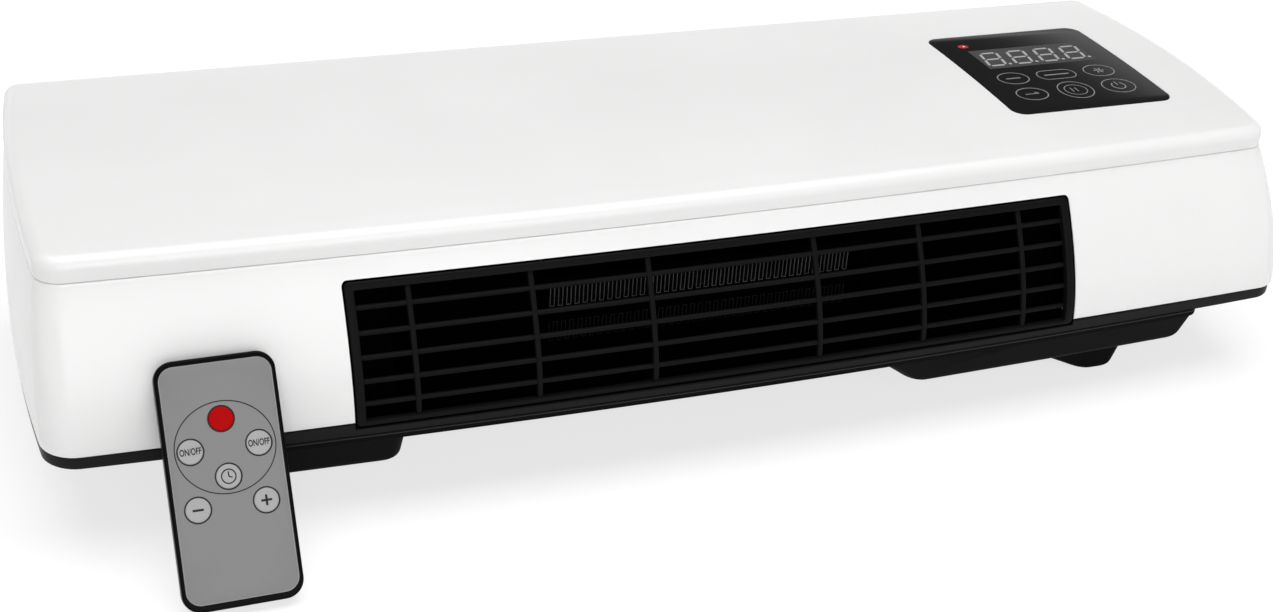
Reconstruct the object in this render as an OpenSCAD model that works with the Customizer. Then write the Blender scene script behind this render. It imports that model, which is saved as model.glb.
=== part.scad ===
// Fan heater with a ceramic element, a touch panel and a card remote, lying on its wall side.
// The origin is midway between the two wall-screw keyholes, on the plane that the feet rest on.
// X runs along the case, -Y is the air outlet's side and +Z points away from the wall.

/* [Case] */
// Overall length of the case, over its bowed ends
case_len = 473; // [440:1:500]
// Distance from the wall screws to the front corners of the skirt
front_reach = 132.7; // [128:0.1:138]
// Distance from the wall screws to the back of the case
back_reach = 30; // [26:0.5:34]
// How far the middle of the front bows out beyond its corners
front_bow = 5; // [3:0.1:7]
// How far the middle of each end bows out beyond its corners
side_bow = 4.6; // [1:0.1:6]
// Height of the skirt's lower edge
skirt_bottom = 38; // [37:0.5:39]
// Height of the seam between the skirt and the front panel
seam_z = 87.5; // [86.5:0.1:89]
// Exponent of the front's lean towards the seam: 1 is a straight slope and more is a rounder one
lean_power = 1.55; // [1.2:0.05:2.2]
// Exponent of the ends' lean towards the seam
end_power = 2; // [1.2:0.1:3]
// Plan radius of the skirt's front corners at the lower edge
skirt_corner = 10.5; // [9:0.5:24]
// Plan radius of the case's back corners
rear_corner = 10; // [8:0.5:24]
// Wall of the white shells
wall = 2.5; // [2:0.1:3]
// Width of the flange inside the skirt's lower edge
flange_w = 14; // [12:0.5:16]
// Thickness of that flange
flange_t = 2; // [1.5:0.1:3]

/* [Front panel] */
// Overall length of the front panel
panel_len = 463; // [430:1:488]
// Distance from the wall screws to the panel's front corners
panel_reach = 110.2; // [106:0.1:113]
// Distance from the wall screws to the panel's back edge
panel_back = 30; // [24:0.5:30]
// Bow of the panel's ends
panel_side_bow = 3.6; // [0.5:0.1:5]
// Plan radius of the panel's front corners
panel_corner = 8; // [6:0.5:12]
// Height of the crown, the panel's highest line
panel_top = 98.5; // [97.5:0.1:103]
// Radius of the crown across the panel
crown_r = 1000; // [700:10:1400]
// Distance of the crown line from the wall screws, towards the front
crown_forward = 33.5; // [15:0.5:45]
// Radius of the rounded edge round the panel
edge_r = 4.2; // [3.5:0.1:5]
// Height of the lip that snaps into the skirt
lip_h = 4; // [2:0.1:5]
// Thickness of that lip
lip_t = 1.5; // [1:0.1:2]

/* [Underside] */
// Height of the underside of the base tray
tray_bottom = 33; // [32:0.1:33.4]
// Thickness of the tray's floor
tray_floor = 2; // [1.5:0.1:2.4]
// Wall of the tray's rim
tray_wall = 3; // [2.5:0.1:4]
// Setback of the tray from the skirt's front corners
tray_setback = 1.1; // [0.8:0.1:3]
// Bow of the tray's front
tray_bow = 7; // [5:0.1:8]
// Setback of the tray from the case's ends and back
tray_inset = 0.3; // [0.2:0.1:2]
// Overall length of the rear cover
cover_len = 393; // [380:1:400]
// Thickness of the rear cover
cover_t = 2.5; // [2:0.1:3]
// How far the cover stands out in front of the tray
cover_ledge = 0.3; // [0.2:0.1:1]
// Distance from the wall screws to the cover's back edge
cover_back = 20; // [18:0.5:24]
// Height of the underside of the cover's two blocks, and of the feet
foot_h = 16.5; // [14:0.1:18]
// Inner end of the left block, measured from the middle
left_block_x = 118; // [110:0.5:120]
// Inner end of the right block, measured from the middle
right_block_x = 58; // [56:0.5:70]
// How much the right block's inner end slopes
right_block_slope = 19; // [8:0.5:20]
// How much both blocks' outer ends slope
outer_slope = 3; // [2:0.5:8]
// Radius of the rounded edges under the ends of the blocks
block_r = 6; // [4:0.5:8]
// Radius of the rounded edges under the front and the back of the blocks
block_front_r = 3; // [3:0.5:6]
// How much the front of the blocks slopes back
block_draft = 6.2; // [4:0.1:9]
// Distance of the middle of the right front foot from the middle of the case
right_foot_x = 154; // [150:0.5:160]
// Distance of the middle of the left front foot from the middle of the case
left_foot_x = 167.5; // [160:0.5:172]
// Distance from the wall screws to the middle of the front feet
front_foot_reach = 106.5; // [98:0.5:108]
// Length of the right front foot along the case, at the top
right_foot_len = 42; // [38:0.5:46]
// Length of the left front foot along the case, at the top
left_foot_len = 20; // [16:0.5:26]
// Depth of a front foot, at the top
front_foot_depth = 26; // [22:0.5:28]
// How much the inner end of the right front foot slopes
right_foot_slope = 27; // [14:0.5:28]
// Radius of a rear foot at the top
rear_foot_r = 17; // [16:0.1:18]
// How much each foot's other sides slope
foot_taper = 3; // [1:0.1:4]

/* [Wall fixing] */
// Distance between the two keyholes
keyhole_spacing = 300; // [290:1:310]
// Radius of the keyhole that the screw head enters
keyhole_r = 4.5; // [4:0.1:5]
// Half the width of the slot that the screw shank runs in
slot_r = 2.4; // [2:0.1:2.8]
// Length of the slot, from the centre of the keyhole
slot_len = 8; // [6:0.1:9]
// Thickness of the plate round each keyhole
keyhole_plate = 3; // [2:0.1:4]

/* [Outlet] */
// Overall length of the outlet grille
grille_len = 270; // [250:1:280]
// Height of the top of the grille
grille_top = 80.6; // [79:0.1:81.5]
// Height of the underside of the grille's bottom rail
grille_bottom = 36.3; // [36:0.1:37.4]
// Width of the grille's end frames
end_frame = 3.2; // [2.5:0.1:4]
// Height of the grille's top rail
rail_h = 2.5; // [2:0.1:3.5]
// Height of the grille's bottom rail
low_rail_h = 1.8; // [1.5:0.1:3]
// Height of one horizontal bar
bar_h = 1.8; // [1.5:0.1:2.6]
// Height of the middle of the lowest horizontal bar
first_bar_z = 43.1; // [42.5:0.1:45]
// Distance between the horizontal bars
bar_pitch = 7.3; // [7:0.05:7.6]
// Width of one upright
upright_w = 2.2; // [1.6:0.1:3]
// Distance of the first uprights from the middle
first_upright_x = 31; // [28:0.5:34]
// Distance between the uprights
upright_pitch = 41.5; // [38:0.5:44]
// How far the bars lie behind the face of the frame
bar_recess = 1.6; // [1:0.1:2]
// Depth of the frame
frame_depth = 6; // [5:0.1:7]
// Depth of the bars
bar_depth = 3; // [2.5:0.1:4.5]
// Gap round the grille
grille_gap = 0.6; // [0.4:0.1:1]

/* [Intake] */
// Length of the intake opening
intake_len = 300; // [260:2:320]
// Height of the intake opening
intake_h = 30; // [24:1:32]
// Height of the intake opening's lower edge
intake_z = 46; // [44:0.5:48]
// Height of one intake slot
slot_h = 3.2; // [2.5:0.1:3.6]
// Distance between the rows of slots
slot_pitch = 5.4; // [5:0.1:6]
// Width of the posts between the slots
intake_post = 4; // [3:0.5:6]

/* [Fan] */
// Length of the fan wheel
wheel_len = 190; // [170:1:200]
// Radius of the fan wheel
wheel_r = 22.5; // [20:0.1:23]
// Height of the fan's axis
fan_z = 64; // [63:0.1:65]
// Distance of the fan's axis from the wall screws, towards the front
fan_forward = 45; // [42:0.5:48]
// Number of blades
blade_count = 22; // [16:1:26]
// Depth of one blade
blade_depth = 5; // [4:0.1:6]
// Thickness of one blade
blade_t = 0.9; // [0.7:0.1:1.2]
// Radius of the fan's shaft
shaft_r = 3; // [2.5:0.1:4]
// Running clearance round the shaft
shaft_clear = 0.05; // [0.02:0.01:0.08]
// Radius of the motor
motor_r = 18; // [14:0.5:19]
// Length of the motor
motor_len = 26; // [20:0.5:30]

/* [Air duct] */
// Length of the duct, between the inner faces of its ends
duct_len = 240; // [228:1:244]
// Thickness of the duct's walls
duct_t = 2; // [1.5:0.1:2.5]
// Height of the duct floor's upper face
duct_floor_z = 37.5; // [37:0.1:38]
// Height of the duct roof's lower face
duct_roof_z = 76; // [75:0.1:76.4]
// Clearance between the fan wheel and the duct
wheel_clear = 2; // [1.5:0.1:3]

/* [Heating element] */
// Length of the heating element
element_len = 126; // [110:1:150]
// Depth of the heating element
element_depth = 16; // [12:0.5:18]
// Height of the heating element
element_h = 28.5; // [26:0.5:32]
// Distance of the element's front from the wall screws
element_reach = 106; // [104:0.5:108]
// Thickness of the end caps and of the top and bottom plates
element_plate = 2.5; // [2:0.1:3]
// Thickness of the heated bar in the middle
heated_bar = 6; // [4:0.5:8]
// Distance between two folds of the fins
fin_pitch = 3; // [2.5:0.1:4]
// Thickness of the fins
fin_t = 0.5; // [0.4:0.05:0.8]

/* [Control panel] */
// Length of the black control window along the case
window_w = 71.2; // [66:0.2:76]
// Depth of the window, across the case
window_d = 75.6; // [70:0.2:80]
// Corner radius of the window
window_corner = 5.5; // [4:0.5:8]
// Thickness of the window
window_t = 1.5; // [1:0.1:1.8]
// Gap round the window
window_gap = 0.2; // [0.1:0.05:0.4]
// Width of the ledge that the window sits on
window_ledge = 3; // [2:0.1:4]
// Distance of the window's middle from the panel's right end
window_from_end = 63.9; // [60:0.1:70]
// Distance of the window's middle from the wall screws, towards the front
window_forward = 43.8; // [42:0.1:50]
// Distance between the touch keys along the case
touch_pitch_x = 19.7; // [17:0.1:21]
// Distance between the two rows of touch keys
touch_pitch_y = 14.7; // [12:0.1:16]
// Length and width of the number display
display_size = [50.3, 20];
// Thickness of the circuit boards
board_t = 1.6; // [1:0.1:2]
// Height of the display board's upper face
display_board_z = 91; // [90:0.1:91.5]

/* [Remote] */
// Width of the remote
remote_w = 37.5; // [36:0.1:42]
// Length of the remote
remote_h = 78; // [74:0.1:84]
// Thickness of the remote
remote_t = 6.5; // [6.2:0.1:8]
// Corner radius of the remote
remote_corner = 6; // [4:0.5:8]
// Distance of the remote's middle from the left end of the case
remote_from_end = 57.4; // [45:0.1:70]
// Angle of the remote's face above the floor
remote_tilt = 56.2; // [50:0.1:62]
// Distance of the remote's lower front edge from the wall screws
remote_reach = 175.8; // [175.8:0.1:190]
// Width of the black border round the remote's label
remote_border = 1.3; // [1:0.1:2]
// Radius of the remote's keys
key_r = 4.2; // [3.5:0.1:4.6]
// Distance between the key rows
key_row = 9; // [8.9:0.1:10]
// Distance of the outer keys from the middle
key_col = 10.5; // [10:0.1:12]
// Height of the lowest key row above the remote's lower end
key_base = 31.4; // [29:0.1:34]
// Travel of a key
key_travel = 0.4; // [0.2:0.05:0.5]
// Gap round a key
key_gap = 0.15; // [0.1:0.05:0.3]
// Radius of the coin cell
cell_r = 10; // [9:0.1:10.2]
// Thickness of the coin cell
cell_t = 1.6; // [1.4:0.1:1.7]

/* [Hidden] */

// Steps of the curves: along the front, round a corner, along an end, up the lean, round the panel's edge
front_steps = 8;
corner_steps = 5;
side_steps = 10;
lean_steps = 8;
edge_steps = 5;
$fn = 48;
big = 400;
over = 1;

case_hx = case_len / 2 - side_bow;
panel_hx = panel_len / 2 - panel_side_bow;
panel_rear_corner = 5;
sharpest = 0.5;
crown_y = -crown_forward;
window_x = panel_len / 2 - window_from_end;
window_y = -window_forward;
window_floor_r = crown_r - window_t;

tray_hx = case_hx - tray_inset;
tray_front = -front_reach + tray_setback;
tray_back = back_reach - tray_inset;
tray_floor_z = tray_bottom + tray_floor;
notch_z = grille_bottom - 0.7;
cover_hx = cover_len / 2;
cover_z = tray_bottom - cover_t;
cover_front = tray_front - bow_at(cover_hx, tray_hx, tray_bow) - cover_ledge;
cover_bow = tray_bow * pow(cover_hx / tray_hx, 2);
cover_corner = 3;
foot_round = 2;
block_setback = 0.3;
block_steps = 12;

grille_hx = grille_len / 2;
opening_hx = grille_hx + grille_gap;
grille_cut_y = -front_reach + 26;
tongue_recess = 2.6;
rail_steps = 12;
upright_steps = 9;

fan_y = -fan_forward;
duct_hx = duct_len / 2;
scroll_r = fan_z - duct_floor_z;
scroll_end = -20;
tongue_y = fan_y - wheel_r - wheel_clear;
baffle_y = -element_reach + 6;

element_hx = element_len / 2;
element_top = duct_floor_z + element_h;
element_mid = duct_floor_z + element_h * 0.47;

motor_x = duct_hx + 2 * duct_t;
bearing_len = 7;
bearing_r = 6;
rubber_r = 9;
bearing_cup_r = 11;
hub_r = 7;
motor_boss_r = 7;
motor_boss_h = 3;
bracket_hole_r = shaft_r + 1.5;
shaft_left = -duct_hx - bearing_len;
shaft_right = motor_x + motor_len - 4;

// Openings of the tray over the two blocks, and the power board in the right-hand one
bay_gap = 4;
opening_x0 = duct_hx + 2 * bay_gap;
opening_x1 = cover_hx - outer_slope - bay_gap;
opening_margins = [16, 10];
opening_front = -front_reach + opening_margins[0];
opening_back = cover_back - opening_margins[1];
board_margins = [32, 15, 22, 30];
board_z = foot_h + cover_t + bay_gap;
board_top = board_z + board_t;
board_x0 = right_block_x + board_margins[0];
board_x1 = cover_hx - board_margins[1];
board_y0 = -front_reach + board_margins[2];
board_y1 = cover_back - board_margins[3];
relay_size = [20, 16, 15.5];
capacitor_size = [8, 18, 14];
terminal_size = [14, 28, 12];
terminal_pitch = 9;
buzzer_size = [6, 7];
capacitor_x = opening_x1 - bay_gap - capacitor_size[0];
relay_x = capacitor_x - bay_gap - relay_size[0] / 2;
relay_y0 = baffle_y - duct_t;
ribbon_size = [10, 0.8];

screw_r = 1.5;
screw_head_r = 3;
screw_head_h = 1.6;
screw_clear = 0.2;
boss_r = 4;
boss_h = 8;
boss_inset = 9;
case_screw_backs = [88, 28];
cover_screw_insets = [16, 20, 24, 12];
case_screw_x = case_hx - boss_inset;
case_screw_ys = [for (d = case_screw_backs) back_reach - d];
cover_screw_xs = [-left_block_x + cover_screw_insets[0], right_block_x - cover_screw_insets[1]];
cover_screw_ys = [-front_reach + cover_screw_insets[2], cover_back - cover_screw_insets[3]];

board_post_r = 3;
post_out = 3;
display_board_w = window_w + 4 * board_post_r + 3;
display_board_h = window_d - 2;

switch_y = -75;
switch_z = 60;
switch_x = skirt_side_x(switch_y, switch_z) - 0.8;
gland_y = -5;
gland_z = 54;
gland_x = skirt_side_x(gland_y, gland_z);
gland_bore = 3.7;
gland_neck = 6.5;
gland_flange = 9.5;

remote_x = remote_from_end - case_len / 2;
remote_front_z = remote_t * cos(remote_tilt);
key_proud = 0.25;
label_t = 0.4;
skin_t = 1.9;
remote_board_t = 0.8;
remote_split = 2.8;
key_t = key_proud + remote_split - remote_board_t - 2 * key_travel;
tray_slot = [26, 27, 2.7];
tray_clear = 0.1;
ir_r = 1.5;
ir_depth = remote_split + ir_r;

// ---- functions ----

function mix(a, b, t) = a + (b - a) * t;
function bow_at(x, half, bow) = bow * (1 - pow(x / half, 2));
function unit(v) = v / norm(v);

// Plan of a rounded rectangle with a bowed front and bowed ends, with its own radius for the front
// corners and for the back ones. It starts at the front's middle and runs anticlockwise, so that point
// i and point n - i are mirror images.
function straight_half(hx, yf, yb, rf, rb) = concat(
    [for (i = [0 : front_steps]) [(hx - rf) * i / front_steps, yf]],
    [for (i = [1 : corner_steps]) let (a = 90 * i / corner_steps - 90)
        [hx - rf + rf * cos(a), yf + rf + rf * sin(a)]],
    [for (i = [1 : side_steps]) [hx, mix(yf + rf, yb - rb, i / side_steps)]],
    [for (i = [1 : corner_steps]) let (a = 90 * i / corner_steps)
        [hx - rb + rb * cos(a), yb - rb + rb * sin(a)]]
);
function half_plan(hx, yf, yb, rf, rb, fb, sb) =
    let (ym = (yf + yb) / 2, hy = (yb - yf) / 2)
    [for (p = straight_half(hx, yf, yb, rf, rb)) [
        p[0] + bow_at(p[1] - ym, hy, sb) * p[0] / hx,
        p[1] - bow_at(p[0], hx, fb) * max(0, (ym - p[1]) / hy)
    ]];
function plan(hx, yf, yb, rf, rb, fb, sb) =
    let (half = half_plan(hx, yf, yb, rf, rb, fb, sb))
    concat(half, [for (i = [len(half) - 1 : -1 : 1]) [-half[i][0], half[i][1]]]);
// Radius left of a corner after a wall has been taken off
function inner_r(r, inset) = max(sharpest, r - inset);

// Share of the skirt's height, from 0 at its lower edge to 1 at the seam
function rise_at(z) = max(0, min(1, (z - skirt_bottom) / (seam_z - skirt_bottom)));
// The skirt's plan at a share of its height
function skirt_plan(u, inset) =
    let (front = pow(u, lean_power), end = pow(u, end_power))
    plan(
        mix(case_hx, panel_hx, end) - inset,
        mix(-front_reach, -panel_reach, front) + inset,
        mix(back_reach, panel_back, end) - inset,
        inner_r(mix(skirt_corner, panel_corner, u), inset),
        inner_r(mix(rear_corner, panel_rear_corner, u), inset),
        front_bow,
        mix(side_bow, panel_side_bow, end)
    );
function panel_plan(inset) = skirt_plan(1, inset);
function crown_z(y) = panel_top - crown_r + sqrt(pow(crown_r, 2) - pow(y - crown_y, 2));
function window_floor_z(y) = panel_top - crown_r + sqrt(pow(window_floor_r, 2) - pow(y - crown_y, 2));
function ring(points, z) = [for (p = points) [p[0], p[1], z]];
function crown_ring(points, drop) = [for (p = points) [p[0], p[1], crown_z(p[1]) - drop]];

// Front and end faces of the skirt at a height
function skirt_front_y(x, z) =
    mix(-front_reach, -panel_reach, pow(rise_at(z), lean_power)) - bow_at(x, case_hx, front_bow);
function skirt_side_x(y, z) =
    let (ym = (back_reach - front_reach) / 2, hy = (back_reach + front_reach) / 2,
         end = pow(rise_at(z), end_power))
    mix(case_hx, panel_hx, end) + bow_at(y - ym, hy, mix(side_bow, panel_side_bow, end));

// Arc that rounds the corner p between its neighbours a and b
function corner_arc(a, p, b, r, steps = 6) =
    let (ua = unit(a - p), ub = unit(b - p), half = acos(ua * ub) / 2,
         c = p + unit(ua + ub) * r / sin(half),
         s = p + ua * r / tan(half) - c, e = p + ub * r / tan(half) - c,
         a0 = atan2(s[1], s[0]), turn = atan2(s[0] * e[1] - s[1] * e[0], s * e))
    [for (i = [0 : steps]) let (t = a0 + turn * i / steps) c + r * [cos(t), sin(t)]];
// Block profile: flat top, sloping ends and a rounded bottom edge
function trough(top0, low0, low1, top1, z1, z0, r) = concat(
    [[top0, z1]],
    corner_arc([top0, z1], [low0, z0], [low1, z0], r),
    corner_arc([low0, z0], [low1, z0], [top1, z1], r),
    [[top1, z1]]
);
function box_plan(w, h) = [[-w / 2, -h / 2], [w / 2, -h / 2], [w / 2, h / 2], [-w / 2, h / 2]];
function rounded_plan(w, h, r) =
    let (q = box_plan(w, h))
    [for (i = [0 : 3]) each corner_arc(q[(i + 3) % 4], q[i], q[(i + 1) % 4], r)];

// ---- shared shapes ----

// Solid through rings of equal point counts, closed by strips that run straight across X
module loft(rings) {
    n = len(rings[0]);
    half = (n + 1) / 2;
    last = len(rings) - 1;
    top = last * n;
    sides = [for (k = [0 : last - 1], i = [0 : n - 1])
        let (a = k * n + i, b = k * n + (i + 1) % n)
        each [[a, a + n, b + n], [a, b + n, b]]];
    lower = [for (i = [1 : half - 2])
        each [[i, i + 1, n - i - 1], [i, n - i - 1, n - i]]];
    upper = [for (i = [1 : half - 2])
        each [[top + i, top + n - i, top + n - i - 1], [top + i, top + n - i - 1, top + i + 1]]];
    ends = [[0, 1, n - 1], [top, top + n - 1, top + 1]];
    polyhedron([for (r = rings) each r], concat(sides, lower, upper, ends), convexity = 6);
}

// Solid through equal sections, each listed clockwise as seen along the way
module sweep(sections) {
    m = len(sections[0]);
    last = len(sections) - 1;
    sides = [for (k = [0 : last - 1], j = [0 : m - 1])
        let (a = k * m + j, b = k * m + (j + 1) % m)
        each [[a, a + m, b + m], [a, b + m, b]]];
    caps = [[for (j = [0 : m - 1]) j], [for (j = [m - 1 : -1 : 0]) last * m + j]];
    polyhedron([for (s = sections) each s], concat(sides, caps), convexity = 6);
}

// Round lead along a path
module lead(path, r, sides = 8) {
    sweep([for (i = [0 : len(path) - 1])
        let (way = unit(path[min(i + 1, len(path) - 1)] - path[max(i - 1, 0)]),
             right = unit(cross(way, [0.02, 1, 0.01])), up = cross(right, way))
        [for (j = [0 : sides - 1]) let (a = 360 * j / sides) path[i] + r * (cos(a) * right - sin(a) * up)]]);
}

module prism(points, z0, z1) {
    translate([0, 0, z0])
    linear_extrude(z1 - z0)
    polygon(points);
}

// Box from its low corner to its high corner
module box(low, high) {
    translate(low)
    cube(high - low);
}

// Extrusion along X of a [y, z] profile
module along_x(profile, x0, x1) {
    translate([x0, 0, 0])
    rotate([90, 0, 90])
    linear_extrude(x1 - x0)
    polygon(profile);
}

// Extrusion along Y of an [x, z] profile
module along_y(profile, y0, y1) {
    translate([0, y1, 0])
    rotate([90, 0, 0])
    linear_extrude(y1 - y0)
    polygon(profile);
}

// Cylinder or tube along X
module rod_x(x0, x1, r, y = 0, z = 0) {
    translate([x0, y, z])
    rotate([0, 90, 0])
    cylinder(r = r, h = x1 - x0);
}

module crown_cylinder(r) {
    translate([0, crown_y, panel_top - crown_r])
    rotate([0, 90, 0])
    cylinder(r = r, h = 2 * big, center = true, $fn = 720);
}

module at_screws(xs, ys) {
    for (x = xs, y = ys)
        translate([x, y, 0])
        children();
}

// ---- white shells ----

module front_panel() {
    outer = concat(
        [ring(panel_plan(0), seam_z)],
        [for (i = [0 : edge_steps]) let (a = 90 * i / edge_steps)
            crown_ring(panel_plan(edge_r * (1 - cos(a))), edge_r * (1 - sin(a)))]
    );
    inner_r = edge_r - wall;
    inner = concat(
        [ring(panel_plan(wall), seam_z - over)],
        [for (i = [0 : 2]) let (a = 45 * i)
            crown_ring(panel_plan(wall + inner_r * (1 - cos(a))), wall + inner_r * (1 - sin(a)))]
    );
    color("white")
    difference() {
        union() {
            difference() {
                loft(outer);
                loft(inner);
            }
            snap_lip();
            display_posts();
        }
        translate([window_x, window_y, 0])
        prism(rounded_plan(window_w - 2 * window_ledge, window_d - 2 * window_ledge, window_corner),
            seam_z, panel_top + over);
        window_pocket();
    }
}

// Lip that drops into the skirt's rim and holds the panel in line
module snap_lip() {
    hidden = wall + window_gap;
    difference() {
        union() {
            prism(panel_plan(hidden), seam_z - lip_h, seam_z);
            prism(panel_plan(wall - 0.4), seam_z, seam_z + lip_t);
        }
        prism(panel_plan(hidden + lip_t), seam_z - lip_h - over, seam_z + lip_t + over);
    }
}

// Posts that carry the display board under the crown
module display_posts() {
    for (x = [-1, 1], y = [-1, 1]) {
        px = window_x + x * (window_w / 2 + post_out);
        py = window_y + y * (display_board_h / 2 - 2 * board_post_r);
        translate([px, py, display_board_z])
        cylinder(r = board_post_r, h = crown_z(py) - wall / 2 - display_board_z);
    }
}

module window_pocket() {
    difference() {
        translate([window_x, window_y, 0])
        prism(rounded_plan(window_w + 2 * window_gap, window_d + 2 * window_gap, window_corner),
            seam_z, panel_top + over);
        crown_cylinder(window_floor_r);
    }
}

module shell_skirt() {
    outer = [for (i = [0 : lean_steps]) let (u = i / lean_steps)
        ring(skirt_plan(u, 0), mix(skirt_bottom, seam_z, u))];
    u0 = flange_t / (seam_z - skirt_bottom);
    drop = 0.6 * wall;
    inner = concat(
        [for (i = [0 : lean_steps]) let (u = mix(u0, 1, i / lean_steps))
            ring(skirt_plan(u, wall), mix(skirt_bottom, seam_z, u) - drop * u)],
        [ring(panel_plan(wall), seam_z + over)]
    );
    color("white")
    difference() {
        union() {
            difference() {
                loft(outer);
                loft(inner);
                loft([ring(skirt_plan(0, flange_w), skirt_bottom - over),
                    ring(skirt_plan(0, flange_w), skirt_bottom + flange_t + over)]);
            }
            at_screws([-case_screw_x, case_screw_x], case_screw_ys)
            translate([0, 0, skirt_bottom])
            cylinder(r = boss_r, h = boss_h);
        }
        box([-opening_hx, -big, skirt_bottom - over],
            [opening_hx, grille_cut_y, grille_top + grille_gap]);
        box([-intake_len / 2, back_reach - wall - over, intake_z],
            [intake_len / 2, back_reach + over, intake_z + intake_h]);
        translate([switch_x, switch_y, switch_z])
        cube([20, 22, 13.4], center = true);
        rod_x(gland_x - 10, gland_x + 10, gland_neck, gland_y, gland_z);
        at_screws([-case_screw_x, case_screw_x], case_screw_ys)
        translate([0, 0, skirt_bottom - over])
        cylinder(r = screw_r, h = boss_h + over - 1);
    }
}

// ---- black underside ----

module base_tray() {
    color("dimgray")
    difference() {
        prism(tray_plan(0), tray_bottom, skirt_bottom);
        difference() {
            prism(tray_plan(tray_wall), tray_floor_z, skirt_bottom + over);
            at_screws([-case_screw_x, case_screw_x], case_screw_ys)
            cylinder(r = boss_r, h = big);
        }
        box([-opening_hx, -big, notch_z], [opening_hx, grille_cut_y, big]);
        for (side = [-1, 1])
            translate([side * (opening_x0 + opening_x1) / 2, (opening_front + opening_back) / 2, 0])
            prism(box_plan(opening_x1 - opening_x0, opening_back - opening_front),
                tray_bottom - over, tray_floor_z + over);
        at_screws([-case_screw_x, case_screw_x], case_screw_ys)
        cylinder(r = screw_r + screw_clear, h = big);
        at_screws(cover_screw_xs, cover_screw_ys)
        cylinder(r = screw_r, h = big);
    }
}
function tray_plan(inset) = plan(
    tray_hx - inset,
    tray_front + inset,
    tray_back - inset,
    inner_r(skirt_corner, tray_inset + inset),
    inner_r(rear_corner, tray_inset + inset),
    tray_bow,
    side_bow
);

// One block of the rear cover, or its hollow when grow is negative
module cover_block(top0, low0, low1, top1, grow, z1) {
    low_z = foot_h - grow;
    back = cover_back - 2 + grow;
    intersection() {
        along_y(trough(top0 - grow, low0 - grow, low1 + grow, top1 + grow, z1, low_z, block_r + grow),
            -big, big);
        sweep([for (i = [0 : block_steps])
            let (x = mix(-cover_hx - over, cover_hx + over, i / block_steps),
                 front = cover_front - bow_at(x, cover_hx, cover_bow) + block_setback - grow)
            [for (p = trough(front, front + block_draft, back, back, z1, low_z, block_front_r + grow))
                [x, p[0], p[1]]]]);
    }
}
module cover_blocks(grow, z1) {
    cover_block(right_block_x, right_block_x + right_block_slope, cover_hx - outer_slope, cover_hx, grow, z1);
    cover_block(-cover_hx, -cover_hx + outer_slope, -left_block_x - 1, -left_block_x, grow, z1);
}

module rear_cover() {
    color("dimgray")
    difference() {
        union() {
            prism(plan(cover_hx, cover_front, cover_back, cover_corner, cover_corner, cover_bow, 0),
                cover_z, tray_bottom);
            cover_blocks(0, tray_bottom - cover_t / 2);
        }
        difference() {
            cover_blocks(-cover_t, tray_bottom + over);
            for (x = [board_x0 + 4, board_x1 - 4], y = [board_y0 + 6, board_y1 - 6])
                translate([x, y, 0])
                cylinder(r = board_post_r, h = board_z);
        }
        at_screws(cover_screw_xs, cover_screw_ys)
        cylinder(r = screw_r + screw_clear, h = big);
    }
}

// One front foot, whose left end may slope further than its other sides
module front_foot(x, length, left_slope) {
    end = length / 2;
    side = front_foot_depth / 2;
    translate([x, -front_foot_reach, 0])
    intersection() {
        along_y(trough(-end, -end + left_slope, end - foot_taper, end, foot_h, 0, foot_round), -big, big);
        along_x(trough(-side, -side + foot_taper, side - foot_taper, side, foot_h, 0, foot_round), -big, big);
    }
}

module front_feet() {
    color("dimgray") {
        front_foot(right_foot_x, right_foot_len, right_foot_slope);
        front_foot(-left_foot_x, left_foot_len, foot_taper);
    }
}

module rear_foot(r) {
    profile = concat(
        [[0, 0]],
        corner_arc([0, 0], [r - foot_taper, 0], [r, foot_h], foot_round),
        [[r, foot_h], [0, foot_h]]
    );
    rotate_extrude()
    polygon(profile);
}

// Hollow feet whose plates hold the keyholes for the wall screws
module rear_feet() {
    color("dimgray")
    for (side = [-1, 1])
        translate([side * keyhole_spacing / 2, 0, 0])
        difference() {
            rear_foot(rear_foot_r);
            translate([0, 0, keyhole_plate])
            cylinder(r = rear_foot_r - foot_taper - 1, h = foot_h);
            translate([0, 0, -over])
            cylinder(r = keyhole_r, h = keyhole_plate + 2 * over);
            translate([0, slot_len, -over])
            cylinder(r = slot_r, h = keyhole_plate + 2 * over);
            box([-slot_r, 0, -over], [slot_r, slot_len, keyhole_plate + over]);
        }
}

module screw(top, under) {
    translate([0, 0, under])
    cylinder(r = screw_r, h = top - under);
    translate([0, 0, under - screw_head_h])
    cylinder(r = screw_head_r, h = screw_head_h);
}

module case_screws() {
    color("silver")
    at_screws([-case_screw_x, case_screw_x], case_screw_ys)
    screw(skirt_bottom + boss_h - 2, tray_bottom);
}

module cover_screws() {
    color("silver")
    at_screws(cover_screw_xs, cover_screw_ys)
    screw(tray_floor_z, cover_z);
}

// Grommet in the right end that the mains cord passes through
module cord_gland() {
    color("dimgray")
    difference() {
        union() {
            rod_x(gland_x - 6, gland_x + 5, gland_neck, gland_y, gland_z);
            rod_x(gland_x - 0.4, gland_x + 2, gland_flange, gland_y, gland_z);
            rod_x(gland_x - 5, gland_x - wall - 0.4, gland_flange, gland_y, gland_z);
        }
        rod_x(gland_x - 10, gland_x + 10, gland_bore, gland_y, gland_z);
    }
}

// ---- outlet and intake ----

// One rail or bar across the outlet, between two heights, behind the face by recess
module grille_rail(z0, z1, recess, depth, lean0, lean1) {
    sweep([for (i = [0 : rail_steps])
        let (x = mix(-grille_hx, grille_hx, i / rail_steps),
             low = skirt_front_y(x, lean0) + recess, high = skirt_front_y(x, lean1) + recess)
        [[x, high + depth, z1], [x, high, z1], [x, low, z0], [x, low + depth, z0]]]);
}

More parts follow.
